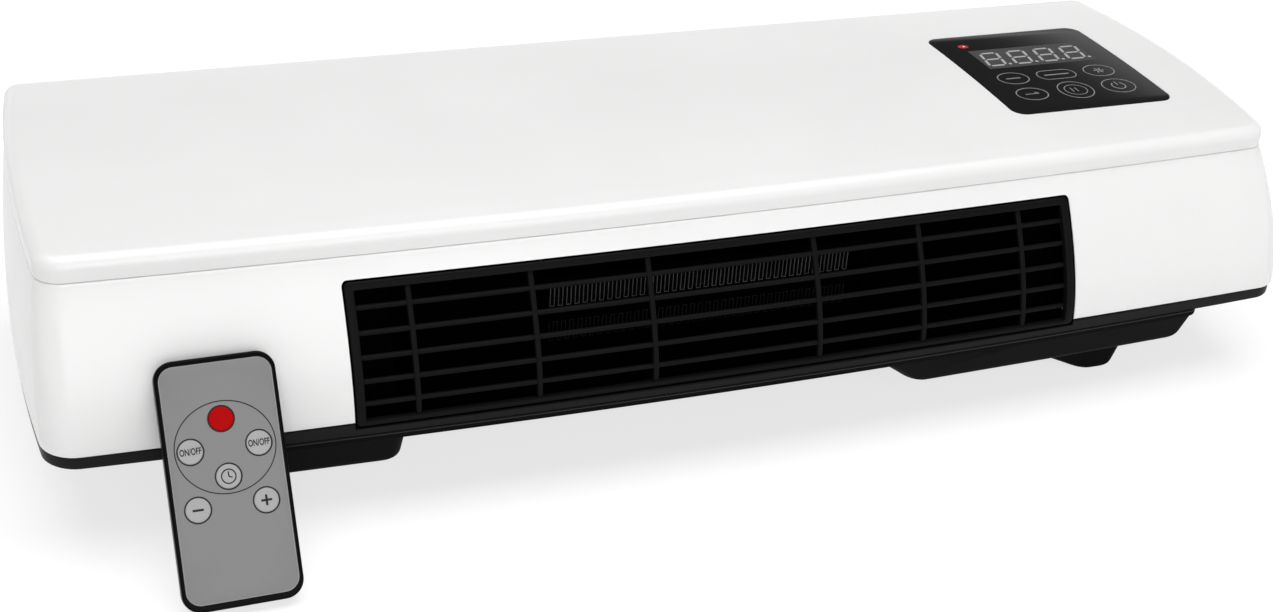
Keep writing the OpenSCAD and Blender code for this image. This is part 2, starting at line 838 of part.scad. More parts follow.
// One upright, which follows the lean of the skirt
module grille_upright(x, w, recess, depth) {
    sweep([for (i = [0 : upright_steps])
        let (z = mix(grille_bottom, grille_top, i / upright_steps), y = skirt_front_y(x, z) + recess)
        [[x + w / 2, y + depth, z], [x - w / 2, y + depth, z], [x - w / 2, y, z], [x + w / 2, y, z]]]);
}

module outlet_grille() {
    bars = floor((grille_top - rail_h - bar_h - first_bar_z) / bar_pitch);
    uprights = floor((grille_hx - end_frame - upright_w - first_upright_x) / upright_pitch);
    color("black")
    union() {
        grille_rail(grille_top - rail_h, grille_top, 0, frame_depth, grille_top - rail_h, grille_top);
        grille_rail(grille_bottom, grille_bottom + low_rail_h, 0, frame_depth, skirt_bottom, skirt_bottom);
        grille_rail(notch_z, grille_bottom + over, tongue_recess, frame_depth, skirt_bottom, skirt_bottom);
        for (i = [0 : bars]) {
            z = first_bar_z + i * bar_pitch;
            grille_rail(z - bar_h / 2, z + bar_h / 2, bar_recess, bar_depth, z - bar_h / 2, z + bar_h / 2);
        }
        for (side = [-1, 1]) {
            grille_upright(side * (grille_hx - end_frame / 2), end_frame, 0, frame_depth);
            for (i = [0 : uprights])
                grille_upright(side * (first_upright_x + i * upright_pitch), upright_w, bar_recess,
                    bar_depth);
        }
    }
}

module intake_grille() {
    edge = 3;
    gap = 0.3;
    columns = 6;
    column_w = (intake_len - 2 * edge - (columns - 1) * intake_post) / columns;
    rows = floor((intake_h - 2 * edge - slot_h) / slot_pitch);
    row_z = intake_z + (intake_h - rows * slot_pitch - slot_h) / 2;
    inside = back_reach - wall;
    color("black")
    difference() {
        union() {
            box([-intake_len / 2 + gap, inside, intake_z + gap],
                [intake_len / 2 - gap, back_reach, intake_z + intake_h - gap]);
            box([-intake_len / 2 - edge, inside - 1.6, intake_z - edge],
                [intake_len / 2 + edge, inside, intake_z + intake_h + edge]);
        }
        for (i = [0 : columns - 1], j = [0 : rows]) {
            x = -intake_len / 2 + edge + i * (column_w + intake_post);
            z = row_z + j * slot_pitch;
            box([x, inside - 3, z], [x + column_w, back_reach + over, z + slot_h]);
        }
    }
}

// ---- air duct ----

// Floor of the duct, which runs on as a scroll under and behind the fan wheel
module duct_floor() {
    front = skirt_front_y(duct_hx, skirt_bottom) + frame_depth + 3;
    angles = [for (i = [0 : 7]) mix(-90, scroll_end, i / 7)];
    centre = [fan_y, fan_z];
    profile = concat(
        [[front, duct_floor_z - duct_t], [fan_y, duct_floor_z - duct_t]],
        [for (a = angles) centre + (scroll_r + duct_t) * [cos(a), sin(a)]],
        [for (i = [7 : -1 : 0]) centre + scroll_r * [cos(angles[i]), sin(angles[i])]],
        [[fan_y, duct_floor_z], [front, duct_floor_z]]
    );
    color("black")
    union() {
        along_x(profile, -duct_hx, duct_hx);
        for (y = [front + 6, fan_y - 8])
            box([-duct_hx + 10, y - 1, tray_floor_z], [duct_hx - 10, y + 1, duct_floor_z - duct_t / 2]);
    }
}

// Roof of the duct, with the tongue that parts the air at the fan wheel
module duct_roof() {
    front = skirt_front_y(duct_hx, duct_roof_z) + frame_depth + 1.5;
    color("black")
    union() {
        box([-duct_hx, front, duct_roof_z], [duct_hx, tongue_y, duct_roof_z + duct_t]);
        box([-duct_hx, tongue_y - duct_t, fan_z + 1], [duct_hx, tongue_y, duct_roof_z + duct_t]);
    }
}

function duct_end_profile() =
    let (front_low = skirt_front_y(duct_hx, skirt_bottom) + frame_depth + 3,
         high = duct_roof_z + duct_t + 1, top = fan_z + wheel_r + 1,
         front_high = skirt_front_y(duct_hx, high) + frame_depth + 1.5,
         rear = fan_y + 1.25 * wheel_r)
    [[front_low, tray_floor_z], [rear, tray_floor_z], [rear, fan_z + 0.6 * wheel_r],
     [fan_y + 0.5 * wheel_r, top], [fan_y - 0.45 * wheel_r, top], [tongue_y - 0.35 * wheel_r, high],
     [front_high, high]];

module duct_end_left() {
    color("black")
    difference() {
        union() {
            along_x(duct_end_profile(), -duct_hx - duct_t, -duct_hx);
            rod_x(shaft_left, -duct_hx, bearing_cup_r, fan_y, fan_z);
        }
        rod_x(shaft_left - over, -duct_hx - over, rubber_r, fan_y, fan_z);
        rod_x(shaft_left - over, -duct_hx + over, bracket_hole_r, fan_y, fan_z);
    }
}

module duct_end_right() {
    color("black")
    difference() {
        along_x(duct_end_profile(), duct_hx, duct_hx + duct_t);
        rod_x(duct_hx - over, duct_hx + duct_t + over, bracket_hole_r, fan_y, fan_z);
        rod_x(duct_hx - over, duct_hx + duct_t + over, lead_hole_r, lead_hole_y, lead_hole_z);
    }
}

// Plate that closes the duct round the heating element
module duct_baffle() {
    color("black")
    difference() {
        box([-duct_hx, baffle_y, duct_floor_z], [duct_hx, baffle_y + duct_t, duct_roof_z]);
        box([-element_hx, baffle_y - over, duct_floor_z - over],
            [element_hx, baffle_y + duct_t + over, element_top]);
    }
}

// ---- fan ----

module fan_wheel() {
    disc_t = 2;
    half = wheel_len / 2;
    mid_r = wheel_r - blade_depth / 2;
    color("gray")
    translate([0, fan_y, fan_z])
    difference() {
        union() {
            for (i = [0 : blade_count - 1])
                rotate([360 * i / blade_count, 0, 0])
                translate([0, 0, mid_r])
                rotate([35, 0, 0])
                cube([wheel_len, blade_t, blade_depth], center = true);
            for (x = [-half, half - disc_t])
                rod_x(x, x + disc_t, wheel_r);
            for (x = [-half, half - 8])
                rod_x(x, x + 8, hub_r);
            for (x = [-wheel_len / 6, wheel_len / 6])
                difference() {
                    rod_x(x - disc_t / 2, x + disc_t / 2, wheel_r);
                    rod_x(x - disc_t, x + disc_t, wheel_r - blade_depth);
                }
        }
        rod_x(-half - over, half + over, shaft_r);
    }
}

module fan_shaft() {
    color("silver")
    rod_x(shaft_left, shaft_right, shaft_r, fan_y, fan_z);
}

module end_bearing() {
    color("goldenrod")
    difference() {
        rod_x(shaft_left, -duct_hx - over, bearing_r, fan_y, fan_z);
        rod_x(shaft_left - over, -duct_hx, shaft_r + shaft_clear, fan_y, fan_z);
    }
}

module bearing_rubber() {
    color("dimgray")
    difference() {
        rod_x(shaft_left, -duct_hx - over, rubber_r, fan_y, fan_z);
        rod_x(shaft_left - over, -duct_hx, bearing_r, fan_y, fan_z);
    }
}

module fan_motor() {
    color("silver")
    difference() {
        union() {
            rod_x(motor_x, motor_x + motor_len, motor_r, fan_y, fan_z);
            rod_x(motor_x + motor_len, motor_x + motor_len + motor_boss_h, motor_boss_r, fan_y, fan_z);
        }
        rod_x(motor_x - over, shaft_right + over, shaft_r + shaft_clear, fan_y, fan_z);
    }
}

module motor_bracket() {
    foot_w = 4;
    color("silver")
    difference() {
        union() {
            box([duct_hx + duct_t, fan_y - motor_r, tray_floor_z],
                [motor_x, fan_y + motor_r, fan_z + motor_r - 2]);
            box([duct_hx + duct_t, fan_y - motor_r, tray_floor_z],
                [motor_x + foot_w, fan_y + motor_r, tray_floor_z + duct_t]);
        }
        rod_x(duct_hx, motor_x + over, bracket_hole_r, fan_y, fan_z);
    }
}

// ---- heating element ----

module element_frame() {
    y0 = -element_reach;
    y1 = y0 + element_depth;
    color("silver")
    difference() {
        box([-element_hx, y0, duct_floor_z], [element_hx, y1, element_top]);
        box([-element_hx + element_plate, y0 - over, duct_floor_z + element_plate],
            [element_hx - element_plate, y1 + over, element_top - element_plate]);
    }
}

module element_bar() {
    inside = element_hx - element_plate;
    color("silver")
    box([-inside, -element_reach + 0.5, element_mid - heated_bar / 2],
        [inside, -element_reach + element_depth - 0.5, element_mid + heated_bar / 2]);
}

// Folded strip between two heights
module fin_strip(z0, z1) {
    inside = element_hx - element_plate;
    folds = floor(2 * inside / fin_pitch);
    pitch = (2 * inside - fin_t) / folds;
    y0 = -element_reach + 0.5;
    y1 = -element_reach + element_depth - 0.5;
    for (i = [0 : folds]) {
        x = -inside + i * pitch;
        box([x, y0, z0], [x + fin_t, y1, z1]);
    }
    for (i = [0 : folds - 1]) {
        x = -inside + i * pitch;
        z = i % 2 == 0 ? z0 : z1 - fin_t;
        box([x, y0, z], [x + pitch + fin_t, y1, z + fin_t]);
    }
}

module element_fins() {
    color("silver")
    union() {
        fin_strip(duct_floor_z + element_plate, element_mid - heated_bar / 2);
        fin_strip(element_mid + heated_bar / 2, element_top - element_plate);
    }
}

terminal_xs = [element_hx - 24, element_hx - 12];
terminal_y = -element_reach + 11;
terminal_h = 2.5;
module element_terminals() {
    color("silver")
    for (x = terminal_xs)
        box([x - 3, terminal_y - 2, element_top], [x + 3, terminal_y + 2, element_top + terminal_h]);
}

// Insulated leads from the element's terminals to the nearer relay
lead_r = 1.2;
lead_hole_r = 5;
lead_hole_y = baffle_y + 10;
lead_hole_z = duct_roof_z - 6;
module heater_leads() {
    top = element_top + terminal_h;
    relay_top = board_top + relay_size[2];
    color("white")
    for (i = [0 : 1]) {
        y = lead_hole_y + 1.5 - 3 * i;
        x = terminal_xs[i];
        lead([[x, terminal_y, top], [x, terminal_y, lead_hole_z - 0.2], [x + 5, y, lead_hole_z],
            [duct_hx - 4, y, lead_hole_z], [duct_hx + 8, y, lead_hole_z], [relay_x - 6, y, lead_hole_z - 4],
            [relay_x, y, lead_hole_z - 12], [relay_x, y, relay_top + 6], [relay_x, y, relay_top]],
            lead_r);
    }
}

module motor_leads() {
    color("white")
    for (x = [motor_x + 8, motor_x + 13])
        translate([x, fan_y, board_top])
        cylinder(r = 1, h = fan_z - motor_r - board_top);
}

module thermal_cutout() {
    roof = duct_roof_z + duct_t;
    color("silver")
    translate([element_hx - 5, tongue_y - 22, roof])
    union() {
        cylinder(r = 8, h = 4);
        box([-13, -3, 0], [13, 3, 1]);
    }
}

module thermal_fuse() {
    roof = duct_roof_z + duct_t;
    color("silver")
    union() {
        rod_x(10, 24, 1.8, tongue_y - 22, roof + 1.8);
        box([15, tongue_y - 25, roof], [19, tongue_y - 19, roof + 1]);
    }
}

// ---- mains and power electronics ----

module power_board() {
    color("darkgreen")
    box([board_x0, board_y0, board_z], [board_x1, board_y1, board_top]);
}

module relays() {
    color("royalblue")
    for (i = [0 : 1])
        translate([relay_x - relay_size[0] / 2, relay_y0 + i * (relay_size[1] + bay_gap), board_top])
        cube(relay_size);
}

module filter_capacitor() {
    color("goldenrod")
    translate([capacitor_x, baffle_y + duct_t, board_top])
    cube(capacitor_size);
}

module terminal_block() {
    color("green")
    translate([board_x1 - terminal_size[0] - 2, board_y1 - terminal_size[1] - 6, board_top])
    difference() {
        cube(terminal_size);
        for (i = [-1 : 1])
            rod_x(terminal_size[0] - 6, terminal_size[0] + over, 2,
                terminal_size[1] / 2 + i * terminal_pitch, 5);
    }
}

module buzzer() {
    color("black")
    translate([board_x0 + 3 * buzzer_size[0], board_y1 - 3 * buzzer_size[0], board_top])
    cylinder(r = buzzer_size[0], h = buzzer_size[1]);
}

rocker_tilt = 8;
module switch_body() {
    color("black")
    translate([switch_x, switch_y, switch_z])
    difference() {
        union() {
            box([0, -12.5, -8], [2.6, 12.5, 8]);
            box([-16, -10.8, -6.5], [0.5, 10.8, 6.5]);
        }
        box([-9, -9.7, -5.2], [4, 9.7, 5.2]);
        translate([0.4, 0, -6.3])
        cylinder(r = 1.04, h = 12.6);
    }
}

// The rocker, which rests tipped to its off side
module switch_rocker() {
    outline = [[2.9, -9.1], [1.7, 0], [2.9, 9.1], [-0.6, 9.1], [-6, 1.5], [-6, -1.5], [-0.6, -9.1]];
    color("firebrick")
    translate([switch_x + 0.4, switch_y, switch_z])
    rotate([0, 0, -rocker_tilt])
    union() {
        translate([0, 0, -5])
        linear_extrude(10)
        polygon(outline);
        translate([0, 0, -6.2])
        cylinder(r = 1, h = 12.4);
    }
}

// ---- control panel ----

module control_window() {
    color("black")
    difference() {
        intersection() {
            translate([window_x, window_y, 0])
            prism(rounded_plan(window_w, window_d, window_corner), seam_z, panel_top + over);
            crown_cylinder(crown_r + 0.15);
        }
        crown_cylinder(window_floor_r);
    }
}

module display_board() {
    color("darkgreen")
    translate([window_x, window_y, 0])
    prism(box_plan(display_board_w, display_board_h), display_board_z - board_t, display_board_z);
}

display_x = window_x + 0.7;
display_y = window_y + 12.3;
module number_display() {
    color("dimgray")
    translate([display_x, display_y, 0])
    prism(box_plan(display_size[0], display_size[1]), display_board_z,
        window_floor_z(display_y - display_size[1] / 2) - window_gap);
}

spring_r = 4;
module touch_springs() {
    color("silver")
    for (i = [-1 : 1], j = [0 : 1]) {
        y = window_y - 7.3 - j * touch_pitch_y;
        translate([window_x + i * touch_pitch_x, y, display_board_z])
        difference() {
            cylinder(r = spring_r, h = window_floor_z(y - spring_r) - display_board_z);
            translate([0, 0, -over])
            cylinder(r = spring_r - 1, h = 20);
        }
    }
}

receiver_place = [window_x + 21, window_y + 28];
receiver_size = [6, 5];
module infrared_receiver() {
    back = receiver_place[1] + receiver_size[1] / 2;
    color("black")
    translate(receiver_place)
    prism(box_plan(receiver_size[0], receiver_size[1]), display_board_z, window_floor_z(back) - window_gap);
}

led_place = [window_x - 23.5, window_y + 26.9];
led_r = 1.6;
module indicator_led() {
    top = window_floor_z(led_place[1] + led_r) - window_gap;
    color("red")
    translate([led_place[0], led_place[1], display_board_z])
    cylinder(r = led_r, h = top - display_board_z);
}

module display_ribbon() {
    x = opening_x1 - bay_gap;
    y = window_y - 15;
    color("gray")
    box([x - ribbon_size[0], y - ribbon_size[1] / 2, board_top],
        [x, y + ribbon_size[1] / 2, display_board_z - board_t]);
}

// ---- remote, in its own frame: x across, y up its length and z out of its face ----

module on_remote() {
    translate([remote_x, -remote_reach, remote_front_z])
    rotate([remote_tilt, 0, 0])
    children();
}
function key_place(i) = [
    [0, key_base + 3 * key_row], [-key_col, key_base + 2 * key_row], [key_col, key_base + 2 * key_row],
    [0, key_base + key_row], [-key_col, key_base], [key_col, key_base]
][i];
module remote_slab(z0, z1, inset) {
    translate([0, remote_h / 2, 0])
    prism(rounded_plan(remote_w - 2 * inset, remote_h - 2 * inset, remote_corner - inset), z0, z1);
}
module at_keys() {
    for (i = [0 : 5])
        translate([key_place(i)[0], key_place(i)[1], 0])
        children();
}

module remote_front() {
    color("black")
    on_remote()
    difference() {
        remote_slab(-remote_split, 0, 0);
        remote_slab(-label_t, over, remote_border);
        remote_slab(-remote_split - over, -skin_t, 2.2);
        at_keys()
        translate([0, 0, -remote_split])
        cylinder(r = key_r + key_gap, h = remote_split + over);
    }
}

module remote_back() {
    color("black")
    on_remote()
    difference() {
        remote_slab(-remote_t, -remote_split, 0);
        box([-tray_slot[0] / 2, -over, -remote_split - tray_slot[2]],
            [tray_slot[0] / 2, tray_slot[1], -remote_split + over]);
        translate([0, remote_h + over, -ir_depth])
        rotate([90, 0, 0])
        cylinder(r = ir_r, h = 5 + over);
    }
}

module remote_label() {
    color("gray")
    on_remote()
    difference() {
        remote_slab(-label_t, 0, remote_border);
        at_keys()
        translate([0, 0, -over])
        cylinder(r = key_r + key_gap, h = 2 * over);
    }
}

module remote_board() {
    color("darkgreen")
    on_remote()
    remote_slab(-remote_split, -remote_split + remote_board_t, 2.2);
}

module remote_led() {
    color("indigo")
    on_remote()
    translate([0, remote_h, -ir_depth])
    rotate([90, 0, 0])
    cylinder(r = ir_r, h = 5);
}

module remote_key(i, tint) {
    color(tint)
    on_remote()
    translate([key_place(i)[0], key_place(i)[1], key_proud - key_t])
    cylinder(r = key_r, h = key_t);
}
module key_power() { remote_key(0, "red"); }
module key_left() { remote_key(1, "lightgray"); }
module key_right() { remote_key(2, "lightgray"); }
module key_timer() { remote_key(3, "lightgray"); }
module key_minus() { remote_key(4, "lightgray"); }
module key_plus() { remote_key(5, "lightgray"); }

tray_top_z = -remote_split - tray_clear;
tray_low_z = -remote_split - tray_slot[2] + tray_clear;
cell_y = tray_slot[1] - cell_r - 2;
module battery_tray() {
    color("black")
    on_remote()
    difference() {
        box([-tray_slot[0] / 2 + tray_clear, 0, tray_low_z],
            [tray_slot[0] / 2 - tray_clear, tray_slot[1] - tray_clear, tray_top_z]);
        translate([0, cell_y, tray_top_z - cell_t])
        cylinder(r = cell_r, h = cell_t + over);
    }
}

module coin_cell() {
    color("silver")
    on_remote()
    translate([0, cell_y, tray_top_z - cell_t])
    cylinder(r = cell_r, h = cell_t);
}

front_panel();
shell_skirt();
base_tray();
rear_cover();
front_feet();
rear_feet();
outlet_grille();
intake_grille();
case_screws();
cover_screws();
cord_gland();
duct_floor();
duct_roof();
duct_end_left();
duct_end_right();
duct_baffle();
fan_wheel();
fan_shaft();
end_bearing();
bearing_rubber();
fan_motor();
motor_bracket();
element_frame();
element_fins();
element_bar();
element_terminals();
heater_leads();
motor_leads();
thermal_cutout();
thermal_fuse();
power_board();
relays();
filter_capacitor();
terminal_block();
buzzer();
switch_body();
switch_rocker();
control_window();
display_board();
number_display();
touch_springs();
infrared_receiver();
indicator_led();
display_ribbon();
remote_front();
remote_back();
remote_label();
remote_board();
remote_led();
key_power();
key_left();
key_right();
key_timer();
key_minus();
key_plus();
battery_tray();
coin_cell();
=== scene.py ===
import math
import bpy
import bmesh
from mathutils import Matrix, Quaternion, Vector


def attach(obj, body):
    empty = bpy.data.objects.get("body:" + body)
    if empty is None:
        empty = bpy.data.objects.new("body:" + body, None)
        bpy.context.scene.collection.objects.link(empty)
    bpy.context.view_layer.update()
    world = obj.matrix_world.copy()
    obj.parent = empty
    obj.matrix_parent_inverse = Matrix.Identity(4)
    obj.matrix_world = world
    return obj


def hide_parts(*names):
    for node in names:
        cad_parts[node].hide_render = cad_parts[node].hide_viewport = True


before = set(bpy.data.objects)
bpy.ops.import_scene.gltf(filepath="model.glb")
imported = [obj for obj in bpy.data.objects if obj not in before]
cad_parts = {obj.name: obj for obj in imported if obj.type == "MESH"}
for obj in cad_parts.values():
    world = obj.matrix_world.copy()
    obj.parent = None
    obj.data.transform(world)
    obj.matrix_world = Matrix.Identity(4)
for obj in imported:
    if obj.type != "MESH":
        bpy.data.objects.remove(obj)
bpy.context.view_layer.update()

scene = bpy.context.scene
scene.view_settings.view_transform = "Standard"


# ---- Studio ----
# A pale table under two soft boxes. The air is bright near the horizon and dim above it, so that
# glossy black faces stay dark, and the table shows white wherever it is seen or mirrored.

def link(tree, *pairs):
    for out, into in pairs:
        tree.links.new(out, into)


def new_material(name):
    made = bpy.data.materials.new(name)
    made.use_nodes = True
    made.node_tree.nodes.clear()
    out = made.node_tree.nodes.new("ShaderNodeOutputMaterial")
    return made, made.node_tree, out.inputs["Surface"]


def math_node(tree, operation, a, b):
    node = tree.nodes.new("ShaderNodeMath")
    node.operation = operation
    for socket, value in zip(node.inputs, (a, b)):
        if isinstance(value, bpy.types.NodeSocket):
            tree.links.new(value, socket)
        else:
            socket.default_value = value
    return node.outputs[0]


air = bpy.data.worlds.new("studio_air")
scene.world = air
air.use_nodes = True
air.node_tree.nodes.clear()
sky_out = air.node_tree.nodes.new("ShaderNodeOutputWorld")
sky = air.node_tree.nodes.new("ShaderNodeBackground")
way = air.node_tree.nodes.new("ShaderNodeTexCoord")
parts = air.node_tree.nodes.new("ShaderNodeSeparateXYZ")
fade = air.node_tree.nodes.new("ShaderNodeValToRGB")
for stop, (height, grey) in zip(fade.color_ramp.elements, ((0.17, 1.0), (0.36, 0.16))):
    stop.position = height
    stop.color = (grey, grey, grey, 1)
link(air.node_tree, (way.outputs["Generated"], parts.inputs[0]), (parts.outputs["Z"], fade.inputs[0]),
     (fade.outputs[0], sky.inputs["Color"]), (sky.outputs[0], sky_out.inputs["Surface"]))

table_half = 15.0
table_white, seen_white, seen_glow = 0.9, 0.38, 0.72
table_mesh = bpy.data.meshes.new("table_top")
table_mesh.from_pydata([(-table_half, -table_half, 0), (table_half, -table_half, 0),
                        (table_half, table_half, 0), (-table_half, table_half, 0)], [], [(0, 1, 2, 3)])
table = bpy.data.objects.new("table_top", table_mesh)
scene.collection.objects.link(table)

table_paint, tree, surface = new_material("table_paint")
seen = tree.nodes.new("ShaderNodeLightPath")
matt = tree.nodes.new("ShaderNodeBsdfDiffuse")
matt.inputs["Color"].default_value = (table_white, table_white, table_white, 1)
half_matt = tree.nodes.new("ShaderNodeBsdfDiffuse")
half_matt.inputs["Color"].default_value = (seen_white, seen_white, seen_white, 1)
shine = tree.nodes.new("ShaderNodeEmission")
shine.inputs["Strength"].default_value = seen_glow
bright = tree.nodes.new("ShaderNodeAddShader")
swap = tree.nodes.new("ShaderNodeMixShader")
direct = math_node(tree, "MAXIMUM", seen.outputs["Is Camera Ray"],
                   math_node(tree, "MAXIMUM", seen.outputs["Is Glossy Ray"],
                             seen.outputs["Is Transmission Ray"]))
link(tree, (half_matt.outputs[0], bright.inputs[0]), (shine.outputs[0], bright.inputs[1]),
     (direct, swap.inputs[0]), (matt.outputs[0], swap.inputs[1]), (bright.outputs[0], swap.inputs[2]),
     (swap.outputs[0], surface))
table_mesh.materials.append(table_paint)


def soft_box(name, place, aim, size, watts):
    lamp = bpy.data.lights.new(name, "AREA")
    lamp.shape = "RECTANGLE"
    lamp.size, lamp.size_y = size
    lamp.energy = watts
    box = bpy.data.objects.new(name, lamp)
    box.location = place
    box.rotation_euler = (Vector(aim) - Vector(place)).to_track_quat("-Z", "Y").to_euler()
    scene.collection.objects.link(box)


soft_box("overhead_box", (0.0, -0.15, 1.6), (0, -0.05, 0), (1.8, 1.3), 22.2)
soft_box("front_box", (-0.1, -1.9, 0.9), (0.0, -0.1, 0.05), (1.6, 0.9), 8.6)

camera = bpy.data.objects.new("camera", bpy.data.cameras.new("camera"))
camera.location = (-0.238386, -0.627050, 0.373215)
camera.rotation_mode = "QUATERNION"
camera.rotation_quaternion = Quaternion((0.8548765, 0.4879976, -0.1122935, -0.1357741))
camera.data.lens = 51.8288
camera.data.sensor_width = 36
camera.data.clip_start = 0.01
scene.collection.objects.link(camera)
scene.camera = camera


# ---- Base tray ----
# Shallow black tray that closes the case from below, with a rounded rim that shows as a dark line
# under the white skirt. Moulded in one piece and held by four screws up into the skirt.

MM = 0.001


def mix(a, b, t):
    return a + (b - a) * t


def bow_at(x, half, bow):
    return bow * (1 - (x / half) ** 2)


def bowed_plan(hx, yf, yb, rf, rb, fb, sb):
    """Rounded rectangle with a bow in its front and one in its ends, and a radius each for its front
    and back corners. It starts at the front's middle and runs anticlockwise, so that point i and
    point n - i are mirror images."""
    front, corner, side = 26, 10, 18
    rf, rb = max(0.5, rf), max(0.5, rb)
    half = [((hx - rf) * i / front, yf) for i in range(front + 1)]
    for i in range(1, corner + 1):
        a = math.radians(90 * i / corner)
        half.append((hx - rf + rf * math.sin(a), yf + rf - rf * math.cos(a)))
    half += [(hx, mix(yf + rf, yb - rb, i / side)) for i in range(1, side + 1)]
    for i in range(1, corner + 1):
        a = math.radians(90 * i / corner)
        half.append((hx - rb + rb * math.cos(a), yb - rb + rb * math.sin(a)))
    ym, hy = (yf + yb) / 2, (yb - yf) / 2
    half = [(x + bow_at(y - ym, hy, sb) * x / hx, y - bow_at(x, hx, fb) * max(0, (ym - y) / hy))
            for x, y in half]
    return half + [(-x, y) for x, y in half[:0:-1]]


def at_height(plan, z):
    return [(x, y, z) for x, y in plan]


def loft(rings, closed=False, cap="strips"):
    """Faces through rings of equal length. A closed loft joins its last ring to its first, and an
    open one is capped by strips between mirrored points or by one face."""
    n, count = len(rings[0]), len(rings)
    faces = []
    for k in range(count if closed else count - 1):
        a, b = k * n, (k + 1) % count * n
        faces += [(a + i, a + (i + 1) % n, b + (i + 1) % n, b + i) for i in range(n)]
    if not closed and cap == "strips":
        for base in (0, (count - 1) * n):
            half = n // 2
            strips = [(0, 1, n - 1)]
            strips += [(i, i + 1, n - i - 1, n - i) for i in range(1, half)]
            if n % 2:
                strips[-1] = (half, half + 1, (half + 2) % n)
            faces += [tuple(base + i for i in f) for f in strips if len(set(f)) > 2]
    elif not closed and cap == "face":
        faces += [tuple(range(n)), tuple(range((count - 1) * n, count * n))]
    return [p for r in rings for p in r], faces


def block(low, high):
    x0, y0, z0 = low
    x1, y1, z1 = high
    return loft([[(x0, y0, z), (x1, y0, z), (x1, y1, z), (x0, y1, z)] for z in (z0, z1)], cap="face")


def turned(profile, centre, steps=48, axis="z"):
    """Solid turned from a profile of radius and height, along z or x."""
    rings = []
    for r, h in profile:
        ring = []
        for i in range(steps):
            a = 2 * math.pi * i / steps
            u, v = r * math.cos(a), r * math.sin(a)
            ring.append((u, v, h) if axis == "z" else (h, u, v))
        rings.append([tuple(c + p for c, p in zip(centre, q)) for q in ring])
    return loft(rings, cap="face")


def mesh_from(name, solids):
    """One mesh in metres from several closed solids in millimetres, with its faces turned outward."""
    mesh = bpy.data.meshes.new(name)
    points, faces = [], []
    for p, f in solids:
        faces += [tuple(i + len(points) for i in face) for face in f]
        points += p
    mesh.from_pydata([Vector(p) * MM for p in points], [], faces)
    work = bmesh.new()
    work.from_mesh(mesh)
    bmesh.ops.remove_doubles(work, verts=work.verts, dist=1e-7)
    bmesh.ops.recalc_face_normals(work, faces=work.faces)
    work.to_mesh(mesh)
    work.free()
    return mesh


def carve(mesh, *cutters):
    """The mesh with the cutters' solids taken out of it."""
    made = bpy.data.objects.new("carved", mesh)
    scene.collection.objects.link(made)
    tools = []
    for solids in cutters:
        tool = bpy.data.objects.new("cutter", mesh_from("cutter", solids))
        scene.collection.objects.link(tool)
        tools.append(tool)
        step = made.modifiers.new("cut", "BOOLEAN")
        step.operation = "DIFFERENCE"
        step.solver = "EXACT"
        step.object = tool
    bpy.context.view_layer.update()
    done = bpy.data.meshes.new_from_object(made.evaluated_get(bpy.context.evaluated_depsgraph_get()))
    for spent in [made] + tools:
        bpy.data.objects.remove(spent)
    return done


def add_piece(name, mesh, finish, body="case", stands_for=(), sharp=35, edge=0.0):
    """Puts a mesh in the scene as a piece that rides on a body. An edge softens its sharp corners."""
    piece = bpy.data.objects.new(name, mesh)
    mesh.name = name
    mesh.materials.clear()
    mesh.materials.append(finish)
    for face in mesh.polygons:
        face.material_index = 0
        face.use_smooth = True
    mesh.set_sharp_from_angle(angle=math.radians(sharp))
    scene.collection.objects.link(piece)
    if edge:
        round_off = piece.modifiers.new("soft_edges", "BEVEL")
        round_off.width = edge * MM
        round_off.segments = 2
        round_off.limit_method = "ANGLE"
        round_off.angle_limit = math.radians(sharp)
        round_off.use_clamp_overlap = True
        round_off.harden_normals = True
    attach(piece, body)
    if stands_for:
        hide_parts(*stands_for)


def new_group(name, inputs, outputs):
    group = bpy.data.node_groups.new(name, "ShaderNodeTree")
    for label, kind, value in inputs:
        socket = group.interface.new_socket(name=label, in_out="INPUT", socket_type=kind)
        socket.default_value = value
    for label, kind in outputs:
        group.interface.new_socket(name=label, in_out="OUTPUT", socket_type=kind)
    return group, group.nodes.new("NodeGroupInput"), group.nodes.new("NodeGroupOutput")


def noise(tree, scale, detail, stretch=None):
    """Noise on the piece's own coordinates, in lumps per metre."""
    where = tree.nodes.new("ShaderNodeTexCoord")
    field = tree.nodes.new("ShaderNodeTexNoise")
    field.inputs["Scale"].default_value = scale
    field.inputs["Detail"].default_value = detail
    source = where.outputs["Object"]
    if stretch:
        pull = tree.nodes.new("ShaderNodeMapping")
        pull.inputs["Scale"].default_value = stretch
        tree.links.new(source, pull.inputs["Vector"])
        source = pull.outputs[0]
    tree.links.new(source, field.inputs["Vector"])
    return field.outputs["Fac"]


def remap(tree, value, low, high):
    """Spreads noise, most of which lies between 0.3 and 0.7, over a range of its own."""
    node = tree.nodes.new("ShaderNodeMapRange")
    for label, v in (("From Min", 0.3), ("From Max", 0.7), ("To Min", low), ("To Max", high)):
        node.inputs[label].default_value = v
    tree.links.new(value, node.inputs["Value"])
    return node.outputs[0]


def scaled_colour(tree, colour, factor):
    node = tree.nodes.new("ShaderNodeVectorMath")
    node.operation = "SCALE"
    tree.links.new(colour, node.inputs[0])
    tree.links.new(factor, node.inputs["Scale"])
    return node.outputs[0]


